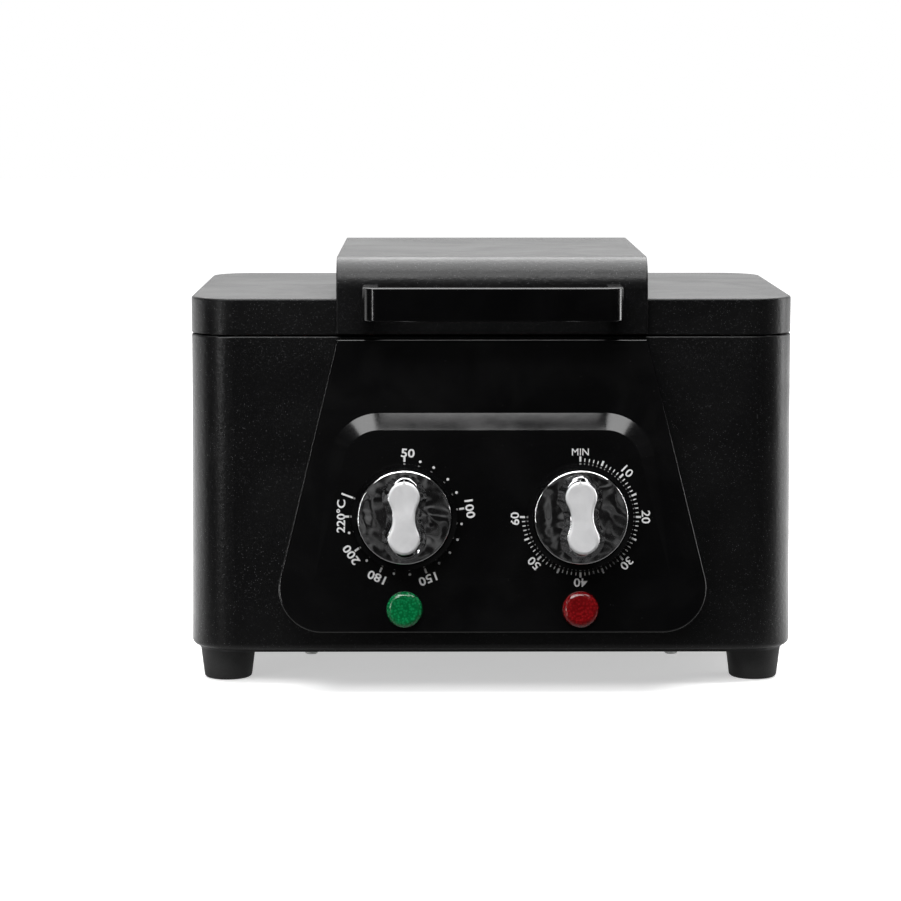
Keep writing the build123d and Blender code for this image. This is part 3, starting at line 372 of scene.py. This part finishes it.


# %% [markdown]
# ## The knobs' plating
# Plated plastic mirrors the room, but its skin is a little wavy. The flat top of the grip
# is satin instead of bright, and there it turns mostly into a white non-metal, a painted
# reflection of bright surroundings. It could be a second material, but a mask by the height
# above the field does it in one, and the edge between the two stays soft.

# %% Mix the knobs' bright plating
SATIN_ROUGHNESS = 0.34
# How far the satin top turns from metal into plain white: a painted reflection.
SATIN_PAINTED_WHITE = 0.85
SATIN_START, SATIN_FULL = 0.9 * MM, 0.25 * MM        # below the grip's top
PLATING, PLATING_DIM = (0.88, 0.88, 0.89), (0.8, 0.8, 0.81)
PLATING_WAVE = 0.0008        # metres


def make_plating():
    """A wavy mirror with a satin face on top of the grip, which is mostly a white non-metal: a
    painted reflection.
    """
    material, tree, shader = new_material("knob_chrome", (0.86, 0.86, 0.87), 0.04, Metallic=1.0)
    marks = use_group(tree, MARKS, Per_metre=120.0, Low=0.03, High=0.09)
    along = add(tree, "ShaderNodeVectorMath", operation="DOT_PRODUCT", in_1=tuple(DIAL_OUT))
    link(tree, object_place(tree), along.inputs[0])
    top = DIAL_CENTRE.dot(DIAL_OUT) + GRIP_TOP * MM
    satin_and_painted_white = span(tree, along.outputs["Value"], top - SATIN_START, top - SATIN_FULL)
    rough = maths(tree, "MULTIPLY_ADD", satin_and_painted_white, SATIN_ROUGHNESS, marks.outputs["Roughness"])
    link(tree, rough, shader.inputs["Roughness"])
    # Painted reflection: on the top face the plating turns mostly into a white non-metal, standing
    # in for the mirror of bright surroundings.
    link(tree, maths(tree, "MULTIPLY_ADD", satin_and_painted_white, -SATIN_PAINTED_WHITE, 1.0), shader.inputs["Metallic"])
    shade = blend_colours(tree, marks.outputs["Cloud"], PLATING, PLATING_DIM)
    link(tree, shade, shader.inputs["Base Color"])
    wave = use_group(tree, GRAIN, Per_metre=85.0, Detail=0.6)
    bump(tree, shader, wave.outputs["Height"], PLATING_WAVE)
    return material


# %% [markdown]
# ## Dull finishes and tinted plastic
# Rubber, nylon, wool, silicone and ink are alike in one way: a grain shows in their surface,
# and in their colour as a painted highlight on the grain's tops, so one function serves them.
# The lamps' covers are dyed clear plastic over a bright cup. A fine pattern of cells stands
# for their moulded inside.

# %% Mix a moulded or woven finish that isn't metal
GRAIN_LOW, GRAIN_HIGH = 0.3, 0.7


def make_dull(name, colour, low, high, grain_per_metre, depth, light):
    """A grainy finish; light says how much paler the tops of its grain are painted, as a painted
    highlight.
    """
    material, tree, shader = new_material(name, colour, low)
    grain = use_group(tree, GRAIN, Per_metre=grain_per_metre, Detail=4.0)
    marks = use_group(tree, MARKS, Per_metre=45.0, Low=low, High=high)
    # Painted highlight: the grain's high points are painted paler than its hollows.
    painted_lit_top = tuple(min(1.0, c * light) for c in colour)
    share = span(tree, grain.outputs["Height"], GRAIN_LOW, GRAIN_HIGH)
    link(tree, blend_colours(tree, share, colour, painted_lit_top), shader.inputs["Base Color"])
    link(tree, marks.outputs["Roughness"], shader.inputs["Roughness"])
    bump(tree, shader, grain.outputs["Height"], depth)
    return material


# %% Mix the lamps' tinted plastic
LENS_CELLS = 950.0           # cells per metre
CELL_MIDDLE, CELL_EDGE = 0.1, 0.75
LENS_RELIEF = 0.0001         # metres


def make_lens(name, deep, bright):
    """Dyed plastic, bright in the middle of each small cell and deep between the cells."""
    material, tree, shader = new_material(name, bright, 0.1, Transmission_Weight=0.35, IOR=1.49,
                                          Coat_Weight=0.6, Coat_Roughness=0.05)
    cells = add(tree, "ShaderNodeTexVoronoi", feature="F1", in_Scale=LENS_CELLS)
    link(tree, object_place(tree), cells.inputs["Vector"])
    share = span(tree, cells.outputs["Distance"], CELL_MIDDLE, CELL_EDGE, 1.0, 0.0)
    link(tree, blend_colours(tree, share, deep, bright), shader.inputs["Base Color"])
    marks = use_group(tree, MARKS, Per_metre=200.0, Low=0.08, High=0.16)
    link(tree, marks.outputs["Roughness"], shader.inputs["Roughness"])
    bump(tree, shader, cells.outputs["Distance"], LENS_RELIEF)
    return material


# %% [markdown]
# ## One finish for each slot
# The record names a material slot for every part. A table for each kind of finish keeps
# the numbers of like surfaces side by side, where they are easy to compare and to change.

# %% The finishes' numbers
METALS = {                   # colour, two ends of roughness, lines per metre, their depth
    "zinc_steel": ((0.62, 0.63, 0.62), 0.34, 0.4, 1500.0, 0.00002),
    "stainless": ((0.58, 0.57, 0.55), 0.27, 0.31, 2600.0, 0.000008),
    "heater_face": ((0.42, 0.41, 0.4), 0.5, 0.56, 900.0, 0.00004),
    "bell_metal": ((0.6, 0.58, 0.52), 0.18, 0.3, 1900.0, 0.00002),
    "copper": ((0.78, 0.42, 0.28), 0.22, 0.4, 1700.0, 0.00002),
    "hinge_steel": ((0.5, 0.5, 0.49), 0.32, 0.38, 1500.0, 0.00003),
}
DULL = {                     # colour, two ends of roughness, grains per metre, depth, light
    "base_paint": ((0.012, 0.012, 0.013), 0.5, 0.62, 900.0, 0.00006, 1.5),
    "foot_rubber": ((0.012, 0.012, 0.012), 0.62, 0.78, 1800.0, 0.00008, 1.5),
    "glass_wool": ((0.66, 0.62, 0.5), 0.85, 0.98, 700.0, 0.0009, 1.3),
    "inner_plastic": ((0.03, 0.028, 0.026), 0.45, 0.6, 1200.0, 0.00004, 1.5),
    "black_nylon": ((0.014, 0.014, 0.015), 0.38, 0.5, 1300.0, 0.00004, 1.5),
    "terminal_plastic": ((0.72, 0.7, 0.64), 0.4, 0.52, 1100.0, 0.00003, 1.1),
    "seal_silicone": ((0.42, 0.11, 0.07), 0.5, 0.62, 900.0, 0.00005, 1.5),
}
GLOSSY = {                   # two ends of roughness, depth of the ripple
    "gloss_black": (0.13, 0.2, 0.00003),
    "knob_black": (0.12, 0.18, 0.00002),
}
LENSES = {                   # deep colour, bright colour
    "green_lens": ((0.0, 0.2, 0.055), (0.008, 0.42, 0.13)),
    "red_lens": ((0.24, 0.002, 0.004), (0.46, 0.008, 0.012)),
}

# %% Make the finishes
FINISHES = {"speckled_paint": make_speckled_paint(), "knob_chrome": make_plating()}
for make, looks in ((make_metal, METALS), (make_dull, DULL),
                    (make_gloss_black, GLOSSY), (make_lens, LENSES)):
    for slot, numbers in looks.items():
        FINISHES[slot] = make(slot, *numbers)
PRINT_INK = make_dull("dial_ink", (0.78, 0.78, 0.78), 0.5, 0.6, 3000.0, 0.00001, 1.1)
print("finishes:", len(FINISHES), "and the ink")


# %% [markdown]
# ## Dress every part
# Each part of the frame has a slot in the record, so one loop can dress them all. Giving
# the material to the mesh leaves the shape as it came, and a part that is added to the
# model later gets its finish without a new line here.

# %% Give every node its finish
subparts = frame["record"]["subparts"]
for part in subparts:
    mesh = nodes[part["node"]].data
    mesh.materials.clear()
    mesh.materials.append(FINISHES[part["material_slot"]])
print("nodes dressed:", len(subparts), "of", len(nodes))


# %% [markdown]
# ## Turning work into pieces
# Each kind of mark is first made by a modifier or a text object. The finished piece is a
# plain mesh instead: it stays where it was put and rides on one body of the machine.

# %% Helpers for meshes
def keep(name, mesh, body):
    """Puts a finished mesh of ink in the scene as a piece that rides on a body."""
    mesh.materials.clear()
    mesh.materials.append(PRINT_INK)
    piece = bpy.data.objects.new(name, mesh)
    bpy.context.scene.collection.objects.link(piece)
    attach(piece, body)
    return piece


def evaluated_mesh(thing, name):
    """The plain mesh of an object as its modifiers leave it."""
    graph = bpy.context.evaluated_depsgraph_get()
    mesh = bpy.data.meshes.new_from_object(thing.evaluated_get(graph))
    mesh.name = name
    return mesh


def joined(meshes, name):
    """One mesh made of several."""
    work = bmesh.new()
    for mesh in meshes:
        work.from_mesh(mesh)
    result = bpy.data.meshes.new(name)
    work.to_mesh(result)
    work.free()
    return result


# %% [markdown]
# ## Ticks and dots by Geometry Nodes
# The timer's minute ticks are one shape repeated round a ring. Placing each by hand would
# work, but a small node tree does it better: it takes one point for each mark, with its
# turn and size as attributes, sets a thin block or disc there, and realizes the result.

# %% A tree that sets a mark on every point
INK = 0.00006                # thickness of the printed ink
DOT_SIDES = 20


def live_output(node):
    """The one output that a Named Attribute node shows for its data type."""
    return next(socket for socket in node.outputs if socket.enabled and socket.name == "Attribute")


def make_marks_tree():
    """A block or a disc on each point, by the point's turn, mark_size and form."""
    tree = bpy.data.node_groups.new("marks_at_points", "GeometryNodeTree")
    for label, kind, value in (("Geometry", "Geometry", None), ("Ink thickness", "Float", INK),
                               ("Dot sides", "Int", DOT_SIDES), ("Ink", "Material", None)):
        socket = tree.interface.new_socket(label, in_out="INPUT", socket_type="NodeSocket" + kind)
        if value is not None:
            socket.default_value = value
    tree.interface.new_socket("Geometry", in_out="OUTPUT", socket_type="NodeSocketGeometry")
    ins, outs = add(tree, "NodeGroupInput"), add(tree, "NodeGroupOutput")
    # A block and a disc, both 1 across, so that mark_size is their real size.
    size = add(tree, "ShaderNodeCombineXYZ", in_0=1.0, in_1=1.0)
    link(tree, ins.outputs["Ink thickness"], size.inputs[2])
    block = add(tree, "GeometryNodeMeshCube")
    link(tree, size.outputs[0], block.inputs["Size"])
    disc = add(tree, "GeometryNodeMeshCylinder", in_Radius=0.5)
    link(tree, ins.outputs["Dot sides"], disc.inputs["Vertices"])
    link(tree, ins.outputs["Ink thickness"], disc.inputs["Depth"])
    # The link made last comes first in the list: the block is form 0 and the disc form 1.
    shapes = add(tree, "GeometryNodeGeometryToInstance")
    link(tree, disc.outputs["Mesh"], shapes.inputs[0])
    link(tree, block.outputs["Mesh"], shapes.inputs[0])
    turn, scale, form = (
        live_output(add(tree, "GeometryNodeInputNamedAttribute", data_type=kind, in_Name=label))
        for label, kind in (("turn", "FLOAT"), ("mark_size", "FLOAT_VECTOR"), ("form", "INT")))
    angle = add(tree, "ShaderNodeCombineXYZ")
    link(tree, turn, angle.inputs[2])
    place = add(tree, "GeometryNodeInstanceOnPoints")
    place.inputs["Pick Instance"].default_value = True
    for source, label in ((ins.outputs["Geometry"], "Points"), (shapes.outputs[0], "Instance"),
                          (form, "Instance Index"), (angle.outputs[0], "Rotation"),
                          (scale, "Scale")):
        link(tree, source, place.inputs[label])
    real = add(tree, "GeometryNodeRealizeInstances")
    link(tree, place.outputs[0], real.inputs[0])
    paint = add(tree, "GeometryNodeSetMaterial")
    link(tree, real.outputs[0], paint.inputs[0])
    link(tree, ins.outputs["Ink"], paint.inputs["Material"])
    link(tree, paint.outputs[0], outs.inputs[0])
    return tree


MARKS_TREE = make_marks_tree()
print("marks tree:", len(MARKS_TREE.nodes), "nodes")

# %% [markdown]
# ## Feeding the tree
# A mesh of bare points carries the marks' data. All of its attributes are made before any
# of them is filled, because making one more can move the earlier ones in memory.

# %% Helpers that make a ring of marks
def socket_id(label):
    """The identifier by which a modifier knows an input of the tree."""
    for item in MARKS_TREE.interface.items_tree:
        if item.item_type == "SOCKET" and item.in_out == "INPUT" and item.name == label:
            return item.identifier
    raise KeyError(label)


def on_ring(degrees, radius):
    """A place on a dial's flat drawing: degrees clockwise from the top, radius in mm."""
    turn = math.radians(degrees)
    return Vector((math.sin(turn), math.cos(turn), 0.0)) * radius * MM


def ring_marks(marks, name):
    """Meshes marks given as degrees, middle radius, length and width in mm, and dot or not."""
    mesh = bpy.data.meshes.new(name + "_points")
    mesh.from_pydata([on_ring(mark[0], mark[1]) for mark in marks], [], [])
    for label, kind in (("turn", "FLOAT"), ("mark_size", "FLOAT_VECTOR"), ("form", "INT")):
        mesh.attributes.new(label, kind, "POINT")
    turns, sizes, forms = (mesh.attributes[label] for label in ("turn", "mark_size", "form"))
    for i, (degrees, _, length, width, dot) in enumerate(marks):
        turns.data[i].value = -math.radians(degrees)
        sizes.data[i].vector = (width * MM, length * MM, 1.0)
        forms.data[i].value = 1 if dot else 0
    thing = bpy.data.objects.new(name + "_points", mesh)
    bpy.context.scene.collection.objects.link(thing)
    modifier = thing.modifiers.new("marks", "NODES")
    modifier.node_group = MARKS_TREE
    for label, value in (("Ink thickness", INK), ("Dot sides", DOT_SIDES), ("Ink", PRINT_INK)):
        modifier[socket_id(label)] = value
    result = evaluated_mesh(thing, name)
    bpy.data.objects.remove(thing)
    return result


# %% [markdown]
# ## Numerals
# The numerals stand round the dials with their feet to the centre. Text objects give clean
# letter shapes with real thickness. Each becomes a mesh before it is turned and placed, so
# nothing later depends on a font.

# %% Helper: one word as a thin mesh round a dial
CAPITAL = 0.72               # a capital's height as a share of the font's size


def word(text, degrees, radius, height, weight, widen):
    """Text centred on the ring: its capitals' height and its strokes' added weight in mm."""
    curve = bpy.data.curves.new("word", "FONT")
    curve.body = text
    curve.align_x, curve.align_y = "CENTER", "CENTER"
    curve.size = height * MM / CAPITAL
    curve.extrude = INK / 2
    curve.offset = weight * MM
    curve.resolution_u = 3
    thing = bpy.data.objects.new("word", curve)
    bpy.context.scene.collection.objects.link(thing)
    mesh = evaluated_mesh(thing, "word")
    bpy.data.objects.remove(thing)
    bpy.data.curves.remove(curve)
    heights = [v.co.y for v in mesh.vertices]
    centre = Matrix.Translation((0.0, -(min(heights) + max(heights)) / 2, 0.0))
    broad = Matrix.Diagonal((widen, 1.0, 1.0, 1.0))
    spin = Matrix.Rotation(-math.radians(degrees), 4, "Z")
    mesh.transform(Matrix.Translation(on_ring(degrees, radius)) @ spin @ broad @ centre)
    return mesh


# %% [markdown]
# ## Laying the print on the panel
# The real print follows the moulded field and its lower edge, where the field runs out
# into the face. A flat drawing would sink there, so every point of the ink is cast along
# the knob's axis until it meets the panel's own mesh.

# %% Helper: lay flat print on the moulded surface
panel_mesh = nodes["control_panel"].data
PANEL = bvhtree.BVHTree.FromPolygons([v.co.copy() for v in panel_mesh.vertices],
                                     [tuple(f.vertices) for f in panel_mesh.polygons])
REACH = 20 * MM              # a ray starts this far out and goes twice as far
INK_LIFT = 0.4               # the ink's middle stands out by this share of its thickness


def lay_on_panel(mesh, side):
    """Moves each point along the knob's axis onto the panel and keeps the ink's thickness."""
    onto = dial_matrix(side)
    for vertex in mesh.vertices:
        x, y, height = vertex.co
        hit = PANEL.ray_cast(onto @ Vector((x, y, REACH)), -DIAL_OUT, 2 * REACH)[0]
        foot = onto @ Vector((x, y, 0.0)) if hit is None else hit
        vertex.co = foot + DIAL_OUT * (height + INK * INK_LIFT)
    mesh.update()


def print_scale(name, meshes, side):
    """Makes one piece of a dial's whole print and lays it on the panel."""
    scale_mesh = joined(meshes, name)
    lay_on_panel(scale_mesh, side)
    return keep(name, scale_mesh, "body")


# %% [markdown]
# ## The two scales
# The temperature's scale isn't even, because a thermostat's travel isn't, so each of its
# ticks and dots has its own angle. The timer runs evenly, and a rule gives its sixty
# minutes: a tick for each, and a longer one for every fifth.

# %% The temperature scale, in degrees clockwise from the top and in millimetres
TEMPERATURE_TICKS = (0.0, 81.6, 158.6, 204.2, 235.7, 270.6)
TEMPERATURE_DOTS = (15.9, 30.6, 48.9, 64.7, 96.8, 113.1, 128.3, 143.1,
                    174.7, 190.6, 221.0, 254.2)
TEMPERATURES = (("50", 3.0, 27.2), ("100", 81.8, 27.9), ("150", 158.4, 28.1),
                ("180", 203.9, 28.1), ("200", 234.8, 27.7))
TICK = (24.5, 2.1, 0.85)     # middle radius, length, width
DOT = (24.4, 1.15, 1.15)
END_LINE = (290.6, 25.9, 5.2, 0.75)      # its angle, then as a tick
NUMERAL = 3.6                # height of a numeral

marks = [(degrees, *TICK, False) for degrees in TEMPERATURE_TICKS]
marks += [(degrees, *DOT, True) for degrees in TEMPERATURE_DOTS]
marks.append((*END_LINE, False))
prints = [ring_marks(marks, "temperature_marks")]
prints += [word(*place, NUMERAL, weight=0.1, widen=1.2) for place in TEMPERATURES]
prints.append(word("220°C", 271.0, 27.0, 3.5, weight=0.09, widen=1.12))
print_scale("temperature_scale", prints, LEFT)
print("temperature marks:", len(marks))

# %% The timer's scale
MINUTE_TURN = 4.5            # degrees for each minute
TICK_FOOT = 23.5             # radius of every tick's inner end
FIVE_MINUTES, ONE_MINUTE = (2.2, 0.85), (1.35, 0.42)     # a tick's length and width
LAST_MINUTE = 60
LAST_BACK = 1.5              # the last number stands back by this many degrees

marks = []
for minute in range(LAST_MINUTE + 1):
    length, width = ONE_MINUTE if minute % 5 else FIVE_MINUTES
    marks.append((minute * MINUTE_TURN, TICK_FOOT + length / 2, length, width, False))
prints = [ring_marks(marks, "timer_marks"), word("MIN", 0.0, 27.6, 3.1, weight=0.0, widen=1.0)]
for number in range(10, LAST_MINUTE + 1, 10):
    degrees = number * MINUTE_TURN - (LAST_BACK if number == LAST_MINUTE else 0.0)
    prints.append(word(str(number), degrees, 27.8, NUMERAL, weight=0.07, widen=1.15))
print_scale("timer_scale", prints, RIGHT)
print("timer marks:", len(marks))


# %% [markdown]
# ## Pointer marks
# Each grip carries a small white triangle near its top end, so the hand can see where the
# knob points. It is ink on the flat top of the grip and turns with the knob. A thin closed
# prism is enough, sunk a hair into the top so that no gap shows.

# %% Print the pointers
POINTER = ((-1.15, 13.2), (1.15, 13.2), (0.0, 16.2))     # its corners, in mm
POINTER_HEIGHTS = (GRIP_TOP - 0.02, GRIP_TOP + 0.05)     # its foot and its face, in mm


def pointer(name, side, turn, body):
    """A thin triangle on the flat top of one grip."""
    work = bmesh.new()
    low, high = ([work.verts.new((x * MM, y * MM, z * MM)) for x, y in POINTER]
                 for z in POINTER_HEIGHTS)
    work.faces.new(high)
    work.faces.new(low[::-1])
    for i in range(len(POINTER)):
        j = (i + 1) % len(POINTER)
        work.faces.new((low[i], low[j], high[j], high[i]))
    mesh = bpy.data.meshes.new(name)
    work.to_mesh(mesh)
    work.free()
    mesh.transform(dial_matrix(side, turn))
    return keep(name, mesh, body)


pointers = [pointer("temperature_pointer", LEFT, 0.0, "temperature_knob"),
            pointer("timer_pointer", RIGHT, TIMER_REST, "timer_knob")]
print("pointers:", [piece.name for piece in pointers])


# %% [markdown]
# ## The lamps of the room
# The picture has soft light: a broad lamp above, a wide one high in front, a tall narrow
# one front left, and a tall one far on the right, a little behind, that draws a bright line
# down the body's edge. Area lamps are used because their size makes the light soft.

# %% Hang the lamps
LAMP_AIM = Vector((0.0, 0.0, 0.1))
LAMPS = {                    # place, width, height, power in watts
    "lamp_above": ((0.0, 0.25, 1.3), 1.8, 2.1, 72.0),
    "lamp_front": ((-0.3, -1.2, 1.35), 1.3, 0.6, 16.0),
    "lamp_left": ((-0.95, -1.1, 0.3), 0.1, 0.8, 3.0),
    "lamp_right": ((1.25, 0.25, 0.35), 0.25, 0.9, 5.5),
}


def soft_lamp(name, place, width, height, power):
    """A rectangular lamp aimed at the machine's middle."""
    data = bpy.data.lights.new(name, "AREA")
    data.shape = "RECTANGLE"
    data.size, data.size_y = width, height
    data.energy = power
    lamp = bpy.data.objects.new(name, data)
    bpy.context.scene.collection.objects.link(lamp)
    lamp.location = place
    lamp.rotation_mode = "QUATERNION"
    lamp.rotation_quaternion = (LAMP_AIM - Vector(place)).to_track_quat("-Z", "Y")


for name, numbers in LAMPS.items():
    soft_lamp(name, *numbers)
print("lamps:", len(LAMPS))


# %% [markdown]
# ## The ground
# The machine stands on white paper. The paper has to look white to the camera and still
# hold the machine's shadow, so it glows for the camera's rays alone, less near the machine
# and fully further out. In front of the machine, the ground is painted dark for every ray
# but the camera's, so that mirrors show a dark room there; behind it they see the paper.

# %% Lay the ground
FLOOR_HALF = 6.0
FLOOR_DROP = 0.0002          # the ground lies just under the feet
PAPER_WHITE, FRONT_PAINTED_DARK = (0.82, 0.82, 0.82), (0.02, 0.02, 0.02)
PAPER_START, PAPER_FULL = -0.16, 0.06    # along Y, for every ray but the camera's
GLOW_NEAR, GLOW_FAR = 0.3, 0.75          # distance from the middle
GLOW_LEAST = 0.5


def mirror_rays(tree, rays):
    """1 for a ray that left a mirror or passed through glass."""
    return maths(tree, "MAXIMUM", rays.outputs["Is Glossy Ray"],
                 rays.outputs["Is Transmission Ray"])


corners = [(x * FLOOR_HALF, y * FLOOR_HALF, 0) for x, y in ((-1, -1), (1, -1), (1, 1), (-1, 1))]
floor_mesh = bpy.data.meshes.new("ground")
floor_mesh.from_pydata(corners, [], [(0, 1, 2, 3)])
ground = bpy.data.objects.new("ground", floor_mesh)
ground.location.z = -FLOOR_DROP
bpy.context.scene.collection.objects.link(ground)
print("ground:", 2 * FLOOR_HALF, "m across")

# %% Colour the ground
ground_material, tree, shader = new_material("ground_paper", PAPER_WHITE, 0.9,
                                             Specular_IOR_Level=0.0,
                                             Emission_Color=(1.0, 1.0, 1.0, 1.0))
floor_mesh.materials.append(ground_material)
place = object_place(tree)
parts = add(tree, "ShaderNodeSeparateXYZ")
link(tree, place, parts.inputs[0])
paper = span(tree, parts.outputs[1], PAPER_START, PAPER_FULL)
rays = add(tree, "ShaderNodeLightPath")
to_camera = rays.outputs["Is Camera Ray"]
seen = maths(tree, "MAXIMUM", to_camera, paper)
# Painted dark: for every ray but the camera's, the ground in front has a dark colour that stands
# in for the dark room in reflections.
link(tree, blend_colours(tree, seen, FRONT_PAINTED_DARK, PAPER_WHITE), shader.inputs["Base Color"])
mirrored = maths(tree, "MULTIPLY", mirror_rays(tree, rays), paper)
shown = maths(tree, "MAXIMUM", to_camera, mirrored)
distance = add(tree, "ShaderNodeVectorMath", operation="LENGTH")
link(tree, place, distance.inputs[0])
glow = span(tree, distance.outputs["Value"], GLOW_NEAR, GLOW_FAR, GLOW_LEAST, 1.0)
link(tree, maths(tree, "MULTIPLY", shown, glow), shader.inputs["Emission Strength"])

# %% [markdown]
# ## The world
# The gloss black shows whatever is round it. The world is white behind the machine, a dim
# and patchy room in front of it, and plain white to the camera, which makes the pale
# background without more light on the machine.

# %% Set the world
ROOM_DIM, ROOM_PATCH = 0.006, 0.12       # strength of the dark room and of its patches
PATCH_START, PATCH_FULL = 0.42, 0.66     # where the noise turns into a patch
BACK_START, BACK_FULL = 0.0, 0.7         # how far a direction points to the back

world = bpy.data.worlds.new("studio")
bpy.context.scene.world = world
world.use_nodes = True
tree = world.node_tree
background = tree.nodes["Background"]
direction = add(tree, "ShaderNodeTexCoord").outputs["Generated"]
parts = add(tree, "ShaderNodeSeparateXYZ")
link(tree, direction, parts.inputs[0])
room = add(tree, "ShaderNodeTexNoise", in_Scale=9.0, in_Detail=3.0, in_Distortion=1.2)
link(tree, direction, room.inputs["Vector"])
patches = span(tree, room.outputs[0], PATCH_START, PATCH_FULL, ROOM_DIM, ROOM_PATCH)
behind = maths(tree, "MAXIMUM", span(tree, parts.outputs[1], BACK_START, BACK_FULL), patches)
rays = add(tree, "ShaderNodeLightPath")
mirrored = maths(tree, "MULTIPLY", mirror_rays(tree, rays), behind)
dim = maths(tree, "MAXIMUM", mirrored, ROOM_DIM)
strength = maths(tree, "MAXIMUM", rays.outputs["Is Camera Ray"], dim)
background.inputs["Color"].default_value = (1.0, 1.0, 1.0, 1.0)
link(tree, strength, background.inputs["Strength"])
bpy.context.scene.view_settings.view_transform = "Standard"
